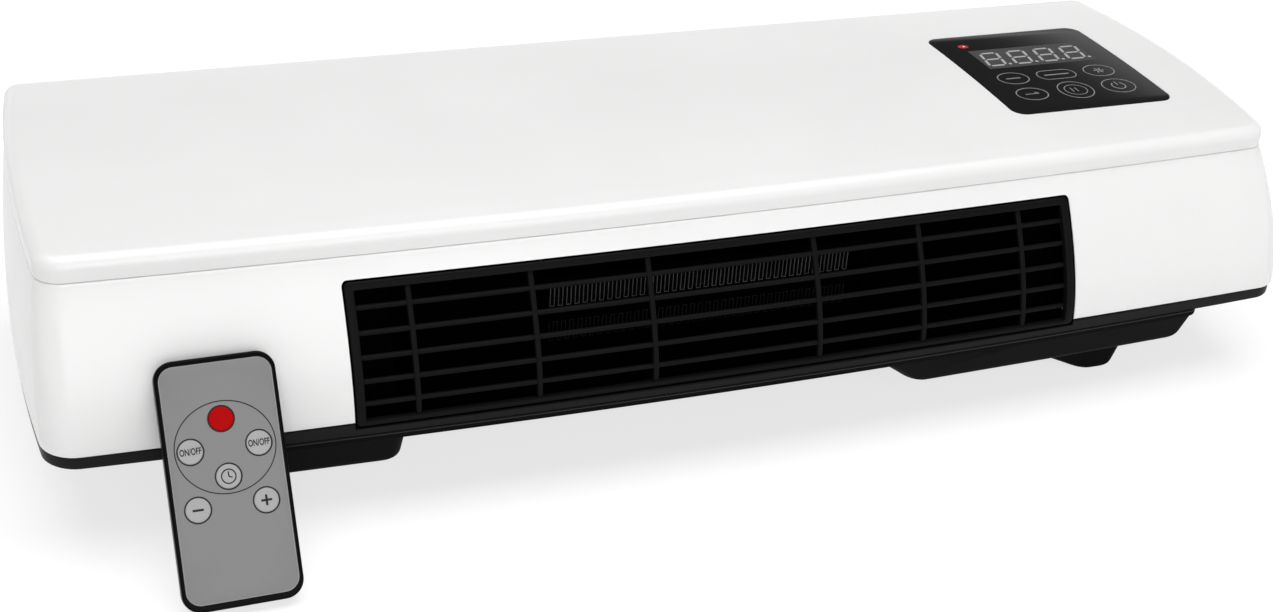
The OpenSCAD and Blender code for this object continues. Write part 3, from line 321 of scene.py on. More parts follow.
# Moulded plastic: slow unevenness of tone and gloss, and a grain whose depth each finish chooses
moulded_skin, into, out = new_group(
    "moulded_skin",
    [("Color", "NodeSocketColor", (0.8, 0.8, 0.8, 1)), ("Roughness", "NodeSocketFloat", 0.3),
     ("Grain", "NodeSocketFloat", 0.2)],
    [("Color", "NodeSocketColor"), ("Roughness", "NodeSocketFloat"), ("Height", "NodeSocketFloat")])
slow = noise(moulded_skin, 14, 3)
fine = noise(moulded_skin, 1500, 3)
tone = remap(moulded_skin, slow, 0.985, 1.015)
uneven = remap(moulded_skin, slow, 0.92, 1.08)
speck = remap(moulded_skin, fine, 0.97, 1.03)
link(moulded_skin,
     (scaled_colour(moulded_skin, into.outputs["Color"], tone), out.inputs["Color"]),
     (math_node(moulded_skin, "MULTIPLY", into.outputs["Roughness"],
                math_node(moulded_skin, "MULTIPLY", uneven, speck)), out.inputs["Roughness"]),
     (math_node(moulded_skin, "ADD", math_node(moulded_skin, "MULTIPLY", fine, into.outputs["Grain"]),
                math_node(moulded_skin, "MULTIPLY", slow, 0.5)), out.inputs["Height"]))


def plastic(name, colour, rough, grain, level=0.5, bump=0.00002):
    finish, tree, surface = new_material(name)
    shader = tree.nodes.new("ShaderNodeBsdfPrincipled")
    skin = tree.nodes.new("ShaderNodeGroup")
    skin.node_tree = moulded_skin
    skin.inputs["Color"].default_value = (*colour, 1)
    skin.inputs["Roughness"].default_value = rough
    skin.inputs["Grain"].default_value = grain
    relief = tree.nodes.new("ShaderNodeBump")
    relief.inputs["Distance"].default_value = bump
    shader.inputs["Specular IOR Level"].default_value = level
    link(tree, (skin.outputs["Color"], shader.inputs["Base Color"]),
         (skin.outputs["Roughness"], shader.inputs["Roughness"]),
         (skin.outputs["Height"], relief.inputs["Height"]),
         (relief.outputs[0], shader.inputs["Normal"]), (shader.outputs[0], surface))
    return finish


black_case = plastic("black_case", (0.013, 0.013, 0.0134), 0.42, 0.6, level=0.06)
# Darker copy of the tray's black for the cover, its blocks and the front feet: painted shade under the case.
black_cover_shaded = plastic("black_cover_shaded", (0.006, 0.006, 0.0062), 0.5, 0.6, level=0.01)
# Lighter black for the bead along the cover's top edge: a painted highlight on that ledge.
black_bead_highlight = plastic("black_bead_highlight", (0.024, 0.024, 0.0245), 0.42, 0.6, level=0.1)

tray_hx, tray_front, tray_back, tray_bow, end_bow = 231.6, -131.6, 29.7, 7, 4.6
tray_front_r, tray_back_r, tray_wall = 10.2, 9.7, 3
skirt_bottom, tray_bottom, notch_z = 38.0, 33.0, 35.6
opening_hx, grille_cut_y = 135.6, -107.0
block_openings = [(-189.5, -128), (128, 189.5)]
screw_hole_r = 1.7
far = 400
screw_places = [(x, y) for x in (-222.9, 222.9) for y in (-58.0, 2.0)]


def tray_plan(inset):
    return bowed_plan(tray_hx - inset, tray_front + inset, tray_back - inset, tray_front_r - inset,
                      tray_back_r - inset, tray_bow, end_bow)


def screw_holes(places):
    return [turned([(screw_hole_r, 20), (screw_hole_r, 60)], (x, y, 0), 24) for x, y in places]


rim_r = 0.6
tray_rings = [at_height(tray_plan(rim_r * (1 - math.sin(a))), tray_bottom + rim_r * (1 - math.cos(a)))
              for a in [math.radians(15 * i) for i in range(7)]]
tray_rings += [at_height(tray_plan(inset), skirt_bottom - down)
               for inset, down in ((0, 0.8), (0.3, 0.5), (1.6, 0.5), (1.6, 0), (tray_wall, 0))]
tray_rings += [at_height(tray_plan(tray_wall), tray_bottom + 2)]
tray_cuts = [block((-opening_hx, -far, notch_z), (opening_hx, grille_cut_y, far))]
tray_cuts += [block((x0, -116.7, 20), (x1, 10, 35)) for x0, x1 in block_openings]
tray = carve(mesh_from("base_tray", [loft(tray_rings)]), tray_cuts + screw_holes(screw_places))
add_piece("base_tray_shell", tray, black_case, stands_for=["base_tray"])


# ---- Rear cover ----
# Thin black cover over the middle of the tray with two hollow blocks that stand the case off the
# wall. Its edges are rounded as a moulding needs, and four screws hold it to the tray. The cover and
# its blocks are painted a darker black than the tray: painted shade under the case.

cover_z, block_z, block_top = 30.5, 16.5, 31.75
cover_hx, cover_front, cover_back, cover_bow = 194.8, -133.95, 20, 4.95
block_back, block_lean, block_wall = 18, 6.2, 2.5
block_end_r, block_side_r, block_corner_r = 4.5, 3, 4.5


def cover_plan(inset):
    return bowed_plan(cover_hx - inset, cover_front + inset, cover_back - inset, 5 - inset, 3 - inset,
                      cover_bow, 0)


def rounded_ring(x0, x1, y0, y1, r, z, corner=6):
    """Rounded rectangle, from the middle of its front side anticlockwise."""
    r = max(0.01, min(r, (x1 - x0) / 2 - 0.01, (y1 - y0) / 2 - 0.01))
    ring = []
    xm = (x0 + x1) / 2
    corners = [(x1 - r, y0 + r, -90), (x1 - r, y1 - r, 0), (x0 + r, y1 - r, 90), (x0 + r, y0 + r, 180)]
    ring.append((xm, y0, z))
    for cx, cy, start in corners:
        for i in range(corner + 1):
            a = math.radians(start + 90 * i / corner)
            ring.append((cx + r * math.cos(a), cy + r * math.sin(a), z))
        if start == 0:
            ring.append((xm, y1, z))
    return ring


def tub(low_x, top_x, low_y, top_y, z0, z1, end_r, side_r, corner_r, grow=0.0):
    """Rings of a block with sloping sides, from its rounded underside up."""
    rings = []
    heights = sorted({r * (1 - math.cos(math.radians(15 * i))) for r in (end_r + grow, side_r + grow)
                      for i in range(7)})
    for h in heights + [z1 - z0 + grow]:
        up = (h - grow) / (z1 - z0)
        dx, dy = (r - math.sqrt(max(0, r * r - max(0, r - h) ** 2)) - grow
                  for r in (end_r + grow, side_r + grow))
        rings.append(rounded_ring(mix(low_x[0], top_x[0], up) + dx, mix(low_x[1], top_x[1], up) - dx,
                                  mix(low_y[0], top_y[0], up) + dy, mix(low_y[1], top_y[1], up) - dy,
                                  corner_r + grow, z0 - grow + h))
    return rings


def cover_block(ends, grow, reach=0.0):
    """One block of the cover, whose front follows the cover's bow. With a reach it runs straight on
    upwards, to cut its hollow."""
    top0, low0, low1, top1 = ends
    front, back = cover_front + 0.3, block_back
    rings = tub((low0, low1), (top0, top1), (front + block_lean, back), (front, back), block_z, block_top,
                block_end_r, block_side_r, block_corner_r, grow)
    rings = [[(x, y - bow_at(x, cover_hx, cover_bow) * (back - y) / (back - front), z) for x, y, z in ring]
             for ring in rings]
    if reach:
        rings.append([(x, y, z + reach) for x, y, z in rings[-1]])
    return rings


blocks = [(-194.8, -192, -119, -118), (55.5, 74.5, 193, 194)]
cover_rings = [at_height(cover_plan(0.5), cover_z), at_height(cover_plan(0.15), cover_z + 0.15),
               at_height(cover_plan(0), cover_z + 0.5), at_height(cover_plan(0), tray_bottom)]
bead = [at_height(cover_plan(inset), cover_z + up)
        for inset, up in ((0.5, 2.0), (-0.06, 2.0), (-0.06, 2.42), (0.3, 2.52), (0.5, 2.52))]
cover_screw_places = [(x, y) for x in (-102.0, 38.0) for y in (-108.7, 8.0)]
cover = carve(mesh_from("rear_cover", [loft(cover_rings)]),
              [loft(cover_block(b, -0.4, 10)) for b in blocks] + screw_holes(cover_screw_places))
add_piece("rear_cover_plate", cover, black_cover_shaded, stands_for=["rear_cover"], edge=0.2)
add_piece("rear_cover_bead", mesh_from("cover_bead", [loft(bead, closed=True)]), black_bead_highlight,
          stands_for=["rear_cover"])
front_notch = block((97, -145, 24), (105, -136, 31))
for side, b in zip(("left", "right"), blocks):
    shell = carve(mesh_from("block", [loft(cover_block(b, 0))]), [loft(cover_block(b, -block_wall, 10))])
    if side == "right":
        shell = carve(shell, [front_notch])
    add_piece("rear_cover_block_" + side, shell, black_cover_shaded, stands_for=["rear_cover"])


# ---- Feet ----
# Two front feet, of which the right-hand one slopes towards the middle of the case, and two hollow
# ones round the wall keyholes, of the same black plastic as the cover and moulded with it. The front
# feet take the cover's darker black, painted shade under the case; the hollow ones take the tray's.

def carry(nodes, finish):
    """Gives CAD parts that keep their own shape a finish."""
    for n in nodes:
        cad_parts[n].data.materials[0] = finish


foot_low_y, foot_top_y = (-116.5, -96.5), (-119.5, -93.5)
foot_ends = [((159, 173), (126, 176)), ((-174.5, -160.5), (-177.5, -157.5))]
feet = [loft(tub(low, top, foot_low_y, foot_top_y, 0, block_z, 3, 2, 4)) for low, top in foot_ends]
add_piece("front_feet_pair", mesh_from("front_feet", feet), black_cover_shaded,
          stands_for=["front_feet"])
carry(["rear_feet"], black_case)


# ---- Screws ----
# Pan-head self-tapping screws of bright zinc-plated steel, with a cross recess in each head.

drawn_metal, into, out = new_group(
    "drawn_metal",
    [("Color", "NodeSocketColor", (0.6, 0.6, 0.6, 1)), ("Roughness", "NodeSocketFloat", 0.35),
     ("Wear", "NodeSocketFloat", 0.3)],
    [("Color", "NodeSocketColor"), ("Roughness", "NodeSocketFloat"), ("Height", "NodeSocketFloat")])
streaks = noise(drawn_metal, 900, 2, (0.08, 1, 1))
blotch = noise(drawn_metal, 120, 3)
link(drawn_metal,
     (scaled_colour(drawn_metal, into.outputs["Color"], math_node(
         drawn_metal, "SUBTRACT", 1.0, math_node(drawn_metal, "MULTIPLY", into.outputs["Wear"],
                                                 remap(drawn_metal, blotch, 0.0, 0.6)))),
      out.inputs["Color"]),
     (math_node(drawn_metal, "MULTIPLY", into.outputs["Roughness"], remap(drawn_metal, streaks, 0.75, 1.3)),
      out.inputs["Roughness"]),
     (streaks, out.inputs["Height"]))


def metal(name, colour, rough, wear=0.3):
    finish, tree, surface = new_material(name)
    shader = tree.nodes.new("ShaderNodeBsdfPrincipled")
    skin = tree.nodes.new("ShaderNodeGroup")
    skin.node_tree = drawn_metal
    skin.inputs["Color"].default_value = (*colour, 1)
    skin.inputs["Roughness"].default_value = rough
    skin.inputs["Wear"].default_value = wear
    relief = tree.nodes.new("ShaderNodeBump")
    relief.inputs["Distance"].default_value = 0.00001
    shader.inputs["Metallic"].default_value = 1.0
    link(tree, (skin.outputs["Color"], shader.inputs["Base Color"]),
         (skin.outputs["Roughness"], shader.inputs["Roughness"]),
         (skin.outputs["Height"], relief.inputs["Height"]),
         (relief.outputs[0], shader.inputs["Normal"]), (shader.outputs[0], surface))
    return finish


screw_steel = metal("screw_steel", (0.62, 0.61, 0.58), 0.3)


def pan_screw(x, y, under, top):
    """Screw with its head below the given height and its shank above it."""
    head = [(0.01, under - 1.6), (1.2, under - 1.58), (2.1, under - 1.4), (2.75, under - 0.95),
            (3.0, under - 0.4), (3.0, under), (1.5, under), (1.5, top - 1), (0.9, top), (0.01, top)]
    return turned(head, (x, y, 0), 32)


def cross_recess(x, y, under):
    return [block((x - 1.6, y - 0.3, under - 2), (x + 1.6, y + 0.3, under - 0.7)),
            block((x - 0.3, y - 1.6, under - 2.05), (x + 0.3, y + 1.6, under - 0.75))]


for name, places, under, top in (("case_screws", screw_places, tray_bottom, 44.0),
                                 ("cover_screws", cover_screw_places, cover_z, 35.0)):
    screws = mesh_from(name, [pan_screw(x, y, under, top) for x, y in places])
    screws = carve(screws, [cross_recess(x, y, under)[0] for x, y in places],
                   [cross_recess(x, y, under)[1] for x, y in places])
    add_piece(name + "_set", screws, screw_steel, stands_for=[name])


# ---- Power board ----
# Glass-fibre board in the right-hand block with two relays, a film capacitor, a clamp terminal
# block and a buzzer. The parts are soldered to it and their leads run up into the case.

carry(["power_board", "display_board", "remote_board"],
      plastic("board_green", (0.015, 0.11, 0.04), 0.35, 0.3))
carry(["relays"], plastic("relay_blue", (0.02, 0.09, 0.42), 0.3, 0.2))
carry(["filter_capacitor"], plastic("capacitor_yellow", (0.62, 0.36, 0.03), 0.3, 0.2))
carry(["terminal_block"], plastic("terminal_green", (0.03, 0.25, 0.06), 0.4, 0.3))
part_black = plastic("part_black", (0.015, 0.015, 0.016), 0.4, 0.4, level=0.4)
carry(["buzzer", "infrared_receiver"], part_black)
carry(["heater_leads", "motor_leads"], plastic("lead_silicone", (0.75, 0.74, 0.7), 0.5, 0.3))
carry(["display_ribbon"], plastic("ribbon_grey", (0.3, 0.3, 0.31), 0.45, 0.3))


# ---- Air duct ----
# Black heat-proof plastic channel round the fan wheel and the element: floor with its scroll, roof
# with its tongue, two ends and a baffle. The pieces clip together inside the case.

# Near-black, darker than the plastic itself: black duct plastic with painted shade for the inside of the
# case.
duct_plastic = plastic("duct_plastic", (0.0006, 0.0006, 0.0006), 0.6, 0.6, level=0.005)
carry(["duct_floor", "duct_roof", "duct_end_left", "duct_end_right", "duct_baffle"], duct_plastic)


# ---- Fan ----
# Cross-flow wheel of grey glass-filled plastic on a steel shaft, which turns in a sintered bearing
# in a rubber cup on the left and in the motor on the right.

carry(["fan_wheel"], plastic("wheel_plastic", (0.09, 0.09, 0.095), 0.5, 0.6))
carry(["fan_shaft"], metal("shaft_steel", (0.6, 0.6, 0.6), 0.22))
carry(["end_bearing"], metal("bearing_bronze", (0.5, 0.3, 0.12), 0.4))
carry(["bearing_rubber"], plastic("rubber_black", (0.02, 0.02, 0.02), 0.75, 0.8, level=0.2))
carry(["fan_motor", "motor_bracket"], metal("motor_metal", (0.5, 0.5, 0.49), 0.4))


# ---- Heating element ----
# Ceramic heater: a bar with closely folded fins pressed above and below it, in a dark frame, with
# spade terminals and thermal cut-outs of aluminium on the duct's roof. The lower fins are painted
# darker than the upper ones: painted shade, deeper in the duct.

carry(["element_terminals", "thermal_cutout", "thermal_fuse"],
      metal("element_aluminium", (0.42, 0.42, 0.42), 0.42, wear=0.6))
# The element's frame and bar take the duct's near-black as painted shade.
carry(["element_frame", "element_bar"], duct_plastic)
fin_metal = metal("fin_metal", (0.12, 0.12, 0.12), 0.5, wear=0.6)
# Darker copy of the fin metal for the lower row: painted shade, deeper in the duct.
fin_shaded = metal("fin_shaded", (0.03, 0.03, 0.03), 0.6, wear=0.6)
fin_pitch, fin_t, fin_start, fin_end = 1.52, 0.3, -60.3, 55.0
fin_front, fin_back = -105.5, -90.5


def fin_row(z0, z1):
    """Closely folded strip between two heights, as its upright walls and the folds that join them."""
    starts = [fin_start + fin_pitch * i for i in range(int((fin_end - fin_start) / fin_pitch) + 1)]
    solids = [block((x, fin_front, z0), (x + fin_t, fin_back, z1)) for x in starts]
    for i, x in enumerate(starts[:-1]):
        fold_z = z1 - fin_t if i % 2 else z0
        solids.append(block((x + fin_t, fin_front, fold_z), (x + fin_pitch, fin_back, fold_z + fin_t)))
    return solids


for name, z0, z1, finish in (("upper", 54.0, 63.4, fin_metal), ("lower", 40.1, 47.8, fin_shaded)):
    add_piece("element_fins_" + name, mesh_from("fins", fin_row(z0, z1)), finish,
              stands_for=["element_fins"])


# ---- Intake grille ----
# Black slotted grille over the air intake in the back of the case, snapped in from the inside.

black_grille = plastic("black_grille", (0.0055, 0.0055, 0.0057), 0.45, 0.6, level=0.06)
carry(["intake_grille"], black_grille)


# ---- Skirt ----
# White glossy moulding that makes the front, the ends and the back of the case. It leans in and
# rounds over into the shoulder under the front panel, with openings for outlet, intake and switch.

white_shell = plastic("white_shell", (0.9, 0.9, 0.895), 0.24, 0.05)

case_hx, front_y, back_y, front_bow = 231.9, -132.7, 30.0, 5
top_hx, top_front_y = 227.9, -110.2
front_rate, end_rate = 1.55, 2
seam_z, wall, flange = 87.5, 2.5, 14
outlet_top = 81.2
intake_hx, intake_z = 150, (46, 76)
switch_y, switch_z = (-86, -64), (53.3, 66.7)
gland_r, gland_y, gland_z = 6.5, -5, 54


def rise_at(z):
    return max(0, min(1, (z - skirt_bottom) / (seam_z - skirt_bottom)))


def skirt_plan(u, inset):
    """The skirt's plan at a share of its height. The front and the ends lean in at rates of their own."""
    front, end = u ** front_rate, u ** end_rate
    return bowed_plan(mix(case_hx, top_hx, end) - inset, mix(front_y, top_front_y, front) + inset,
                      back_y - inset, mix(10.5, 8, u) - inset, mix(10, 5, u) - inset, front_bow,
                      mix(end_bow, end_bow - 1, end))


def skirt_front_y(x, z):
    return mix(front_y, top_front_y, rise_at(z) ** front_rate) - bow_at(x, case_hx, front_bow)


skirt_rings = [at_height(skirt_plan(0, inset), skirt_bottom + up)
               for inset, up in ((flange, 0), (0.5, 0), (0.15, 0.15))]
levels = [0.012] + [i / 26 for i in range(1, 26)] + [0.993]
skirt_rings += [at_height(skirt_plan(u, 0), mix(skirt_bottom, seam_z, u)) for u in levels]
skirt_rings += [at_height(skirt_plan(1, 0.25), seam_z - 0.1), at_height(skirt_plan(1, wall), seam_z - 0.1)]
skirt_rings += [at_height(skirt_plan(u, wall), mix(skirt_bottom, seam_z, u) - 1.5 * u)
                for u in (1, 0.85, 0.7, 0.55, 0.4, 0.25, 0.12, 0.041)]
skirt_rings += [at_height(skirt_plan(0, flange), skirt_bottom + 2)]


def opening(x0, x1, z0, z1, r, y0, y1):
    """Rounded window through the front or back, as a solid along Y."""
    ring = rounded_ring(x0, x1, z0, z1, r, 0)
    return loft([[(x, y, z) for x, z, _ in ring] for y in (y0, y1)], cap="face")


def across(y0, y1, z0, z1, r, x0, x1):
    """Rounded window through an end, as a solid along X."""
    ring = rounded_ring(y0, y1, z0, z1, r, 0)
    return loft([[(x, y, z) for y, z, _ in ring] for x in (x0, x1)], cap="face")


skirt = carve(mesh_from("shell_skirt", [loft(skirt_rings, closed=True)]), [
    opening(-opening_hx, opening_hx, 20, outlet_top, 1.9, -far, grille_cut_y),
    opening(-intake_hx, intake_hx, *intake_z, 1.5, 26, 60),
    across(*switch_y, *switch_z, 1, 222, 260),
    turned([(gland_r, 210), (gland_r, 260)], (0, gland_y, gland_z), 48, "x")])
add_piece("skirt_shell", skirt, white_shell, stands_for=["shell_skirt"], sharp=32,
          edge=0.25)
boss = [(4, skirt_bottom + 1), (4, 45.6), (3.6, 46), (1.5, 46), (1.5, skirt_bottom + 1)]
bosses = mesh_from("skirt_bosses", [turned(boss, (x, y, 0), 32) for x, y in screw_places])
add_piece("skirt_bosses", bosses, white_shell, stands_for=["shell_skirt"])

carry(["cord_gland"], plastic("gland_rubber", (0.018, 0.018, 0.018), 0.6, 0.7, level=0.3))
carry(["switch_body"], part_black)
carry(["switch_rocker"], plastic("rocker_red", (0.5, 0.01, 0.01), 0.25, 0.1))


# ---- Outlet grille ----
# Black moulded grille across the front: a frame that follows the skirt's bow and lean, slim level
# bars and a few uprights that pass just in front of them. It snaps into the opening. A near-black ring
# round it, a near-black sill and two near-black screens are painted shade: dark sheets that fill the
# gaps to the duct, where only shadow shows.

def front_point(x, z, depth):
    return (x, skirt_front_y(x, max(z, skirt_bottom)) + depth, z)


def upright_ring(x0, x1, z0, z1, r):
    """Rounded rectangle in the plane of the front, with enough points to follow its bow."""
    ring = []
    corners = [(x1 - r, z0 + r, -90), (x1 - r, z1 - r, 0), (x0 + r, z1 - r, 90), (x0 + r, z0 + r, 180)]
    for k, (cx, cz, start) in enumerate(corners):
        turns = [math.radians(start + 15 * i) for i in range(7)]
        arc = [(cx + r * math.cos(a), cz + r * math.sin(a)) for a in turns]
        ring += arc
        nx, nz, turn = corners[(k + 1) % 4]
        a = math.radians(turn)
        target = (nx + r * math.cos(a), nz + r * math.sin(a))
        count = 14 if k % 2 == 0 else 36
        ring += [(mix(arc[-1][0], target[0], i / count), mix(arc[-1][1], target[1], i / count))
                 for i in range(1, count)]
    return ring


def frame_ring(share, back, depth, r):
    """Ring of the frame between its outer edge, at share 0, and its opening, at share 1."""
    side, low, high = (width * share + back for width in frame_widths)
    return [front_point(x, z, depth)
            for x, z in upright_ring(-frame_hx + side, frame_hx - side, frame_z0 + low, frame_z1 - high, r)]


frame_hx, frame_z0, frame_z1, frame_depth = 135, 36.3, 80.6, 2.6
frame_widths = (3.2, 1.6, 2.5)
lip = 0.4
gap = 0.1
soft = lip * 0.3
frame_rings = [frame_ring(*ring) for ring in (
    (0, gap, frame_depth, 1.7), (0, gap, lip, 1.7), (0, gap + soft, soft, 1.5), (0, gap + lip, 0, 1.3),
    (1, -lip, 0, 1.0), (1, -soft, soft, 0.8), (1, 0, lip, 0.6), (1, 0, frame_depth, 0.6))]


def bar_section(w, d, r):
    """Rounded bar section, across from -w/2 to w/2 and from depth 0 to d."""
    side = w / 2 - r
    section = []
    for cx, cy, start in ((side, d - r, 0), (-side, d - r, 90), (-side, r, 180), (side, r, 270)):
        for turn in (0, 30, 60, 90):
            a = math.radians(start + turn)
            section.append((cx + r * math.cos(a), cy + r * math.sin(a)))
    return section


def level_bar(z, height, recess, depth, r, reach=133.4):
    rings = []
    for i in range(49):
        x = mix(-reach, reach, i / 48)
        _, y, _ = front_point(x, z, recess)
        rings.append([(x, y + d, z + h) for h, d in bar_section(height, depth, r)])
    return loft(rings, cap="face")


def upright(x, width, recess, depth, r, z0=37.4, z1=79.0):
    rings = []
    for i in range(25):
        z = mix(z0, z1, i / 24)
        _, y, _ = front_point(x, z, recess)
        rings.append([(x + w, y + d, z) for w, d in bar_section(width, depth, r)])
    return loft(rings, cap="face")


first_bar_z, bar_pitch = 43.1, 7.3
# Near-black ring between the frame and the skirt's opening: painted shade for the gap.
gap_shade_rings = [frame_ring(0, back, depth, r)
              for back, depth, r in ((-0.5, 2.4, 1.9), (-0.5, 0.35, 1.9), (0.3, 0.35, 1.5), (0.3, 2.4, 1.5))]
outlet_pieces = [
    ("frame", [loft(frame_rings, closed=True), level_bar(36.45, 1.7, 2.6, 3, 0.3, 134.8)],
     "black_grille", 35),
    ("gap_shade", [loft(gap_shade_rings, closed=True)], "duct_plastic", 35),
    ("bars", [level_bar(first_bar_z + bar_pitch * i, 1.7, 1.6, 1.8, 0.6) for i in range(5)],
     "black_grille", 60),
    ("uprights", [upright(side * x, 2.0, 1.2, 2.4, 0.6) for side in (-1, 1) for x in (31, 72.5, 114)],
     "black_grille", 60),
    # Near-black sill and end screens: painted shade that hides the inside of the case at the outlet.
    ("shade_sill", [level_bar(37.25, 0.4, 1.8, 8.0, 0.15, 134.6)], "duct_plastic", 35),
    ("shade_screens", [upright(side * 129.5, 20, 9.5, 1, 0.3, 38.5, 78) for side in (-1, 1)], "duct_plastic", 35)]
outlet_finishes = {"black_grille": black_grille, "duct_plastic": duct_plastic}
for name, solids, slot, sharp in outlet_pieces:
    add_piece("outlet_" + name, mesh_from(name, solids), outlet_finishes[slot],
              stands_for=["outlet_grille"], sharp=sharp)


# ---- Front panel ----
# White glossy lid, crowned from front to back and rounded all round its edge. It snaps into the
# skirt and has a shallow pocket with a ledge for the control window.

panel_top, crown_r, crown_y = 98.5, 1000.0, -33.5
window_x, window_y, window_w, window_d = 167.6, -43.8, 71.2, 75.6


def crown_z(y, r=crown_r):
    return panel_top - crown_r + math.sqrt(r ** 2 - (y - crown_y) ** 2)


def crown_ring(plan, drop):
    return [(x, y, crown_z(y) - drop) for x, y in plan]


edge_r = 4.2
panel_rings = [at_height(skirt_plan(1, 0.3), seam_z + 0.08), at_height(skirt_plan(1, 0), seam_z + 0.3)]
panel_rings += [crown_ring(skirt_plan(1, edge_r * (1 - math.cos(a))), edge_r * (1 - math.sin(a)))
                for a in [math.radians(7.5 * i) for i in range(13)]]
inner_rings = [at_height(skirt_plan(1, wall), seam_z + 0.08)]
inner_rings += [crown_ring(skirt_plan(1, wall + 1.7 * (1 - math.cos(a))), wall + 1.7 * (1 - math.sin(a)))
                for a in [math.radians(30 * i) for i in range(4)]]
panel_rings = inner_rings[::-1] + panel_rings


def window_ring(grow, r, z_of):
    w, d = window_w / 2 + grow, window_d / 2 + grow
    ring = rounded_ring(window_x - w, window_x + w, window_y - d, window_y + d, r, 0, corner=8)
    fine_ring = []
    for (x0, y0, _), (x1, y1, _) in zip(ring, ring[1:] + ring[:1]):
        pieces = max(1, round(math.hypot(x1 - x0, y1 - y0) / 4))
        fine_ring += [(mix(x0, x1, i / pieces), mix(y0, y1, i / pieces)) for i in range(pieces)]
    return [(x, y, z_of(y)) for x, y in fine_ring]


floor_r = crown_r - 1.5
pocket = loft([window_ring(0.2, 5.7, lambda y: crown_z(y, floor_r)), window_ring(0.2, 5.7, lambda y: 110)])
through = loft([window_ring(-3, 5.5, lambda y: 80), window_ring(-3, 5.5, lambda y: 110)])
panel = carve(mesh_from("front_panel", [loft(panel_rings)]), [pocket], [through])
add_piece("panel_shell", panel, white_shell, stands_for=["front_panel"], sharp=32)
lip_ring = [(2.7, seam_z - 4), (2.7, seam_z), (2.4, seam_z), (2.4, seam_z + 1.5), (4.2, seam_z + 1.5),
            (4.2, seam_z - 4)]
snap_lip = mesh_from("panel_lip", [loft([at_height(skirt_plan(1, i), z) for i, z in lip_ring], closed=True)]
                     + [turned([(3, 91), (3, crown_z(window_y + s * 30.8) - 1.3)],
                               (window_x + t * 38.6, window_y + s * 30.8, 0), 24)
                        for s in (-1, 1) for t in (-1, 1)])
add_piece("panel_lip", snap_lip, white_shell, stands_for=["front_panel"])


# ---- Control window ----
# Black tinted window set flush in the panel, with soft edges. What shows through it, the number
# display and the indicator, and the rings and signs of its touch keys are thin films on its face. The
# near-white spot on the indicator's lens is painted light.

carry(["touch_springs"], metal("spring_steel", (0.55, 0.55, 0.55), 0.3))
window_black = plastic("window_black", (0.0125, 0.0125, 0.013), 0.2, 0.02, level=0.02, bump=0.000003)
display_grey = plastic("display_grey", (0.05, 0.05, 0.052), 0.3, 0.4, level=0.1)
print_grey = plastic("print_grey", (0.27, 0.27, 0.27), 0.4, 0.4, level=0.1)
digit_grey = plastic("digit_grey", (0.42, 0.42, 0.43), 0.4, 0.4, level=0.1)
led_red = plastic("led_red", (0.55, 0.004, 0.02), 0.3, 0.1, level=0.1)
# Near-white for a spot on the indicator's lens: painted light.
led_painted_light = plastic("led_painted_light", (0.95, 0.85, 0.82), 0.3, 0.1)
carry(["indicator_led"], led_red)
carry(["number_display"], display_grey)


def glass_z(y):
    return crown_z(y, crown_r + 0.1)


def on_glass(x, y, lift=0.02):
    return (x, y, glass_z(y) + lift)


slab = loft([window_ring(0, 5.5, lambda y: crown_z(y, floor_r) + 0.01),
             window_ring(0, 5.5, lambda y: glass_z(y) - 0.3),
             window_ring(-0.08, 5.42, lambda y: glass_z(y) - 0.09),
             window_ring(-0.3, 5.2, glass_z)])
add_piece("window_pane", mesh_from("window_pane", [slab]), window_black,
          stands_for=["control_window"])


def sheet_mesh(name, faces):
    """Thin printed marks from lists of corner points, face up, each cut into its own film."""
    mesh = bpy.data.meshes.new(name)
    points, polys = [], []
    for corners in faces:
        polys.append(tuple(range(len(points), len(points) + len(corners))))
        points += corners
    mesh.from_pydata([Vector(p) * MM for p in points], [], polys)
    work = bmesh.new()
    work.from_mesh(mesh)
    bmesh.ops.remove_doubles(work, verts=work.verts, dist=1e-7)
    for face in work.faces:
        face.normal_update()
        if face.normal.z < 0:
            face.normal_flip()
    work.to_mesh(mesh)
    work.free()
    return mesh


def line_faces(path, width, place, closed=False):
    """A printed line of one width along a path of points, as faces put in place one by one."""
    n = len(path)
    sides = []
    for i, (x, y) in enumerate(path):
        x0, y0 = path[i - 1] if closed or i else path[0]
        x1, y1 = path[(i + 1) % n] if closed or i < n - 1 else path[-1]
        dx, dy = x1 - x0, y1 - y0
        size = math.hypot(dx, dy)
        nx, ny = -dy / size * width / 2, dx / size * width / 2
        sides.append((place(x + nx, y + ny), place(x - nx, y - ny)))
    pairs = list(zip(sides, sides[1:])) + ([(sides[-1], sides[0])] if closed else [])
    return [(a[0], a[1], b[1], b[0]) for a, b in pairs]


def oval(cx, cy, w, h, steps=40, start=0, end=360):
    whole = end - start >= 360
    return [(cx + w / 2 * math.cos(math.radians(mix(start, end, i / steps))),
             cy + h / 2 * math.sin(math.radians(mix(start, end, i / steps))))
            for i in range(steps if whole else steps + 1)]


def pill(cx, cy, w, h):
    r, steps = h / 2, 14
    right = [(cx + w / 2 - r + r * math.sin(math.pi * i / steps), cy - r * math.cos(math.pi * i / steps))
             for i in range(steps + 1)]
    return right + [(2 * cx - x, 2 * cy - y) for x, y in right]


def filled(path, place, cx, cy):
    return [(place(cx, cy), place(*a), place(*b)) for a, b in zip(path, path[1:] + path[:1])]


display_x, display_y = window_x + 0.7, window_y + 12.3
face_w, face_h = 50.0, 18.9
face_columns, face_rows = 10, 4
face_quads = []
for i in range(face_columns):
    for j in range(face_rows):
        x0, x1 = (display_x + face_w * (k / face_columns - 0.5) for k in (i, i + 1))
        y0, y1 = (display_y + face_h * (k / face_rows - 0.5) for k in (j, j + 1))
        face_quads.append((on_glass(x0, y0), on_glass(x1, y0), on_glass(x1, y1), on_glass(x0, y1)))
add_piece("display_face", sheet_mesh("display_face", face_quads), display_grey)

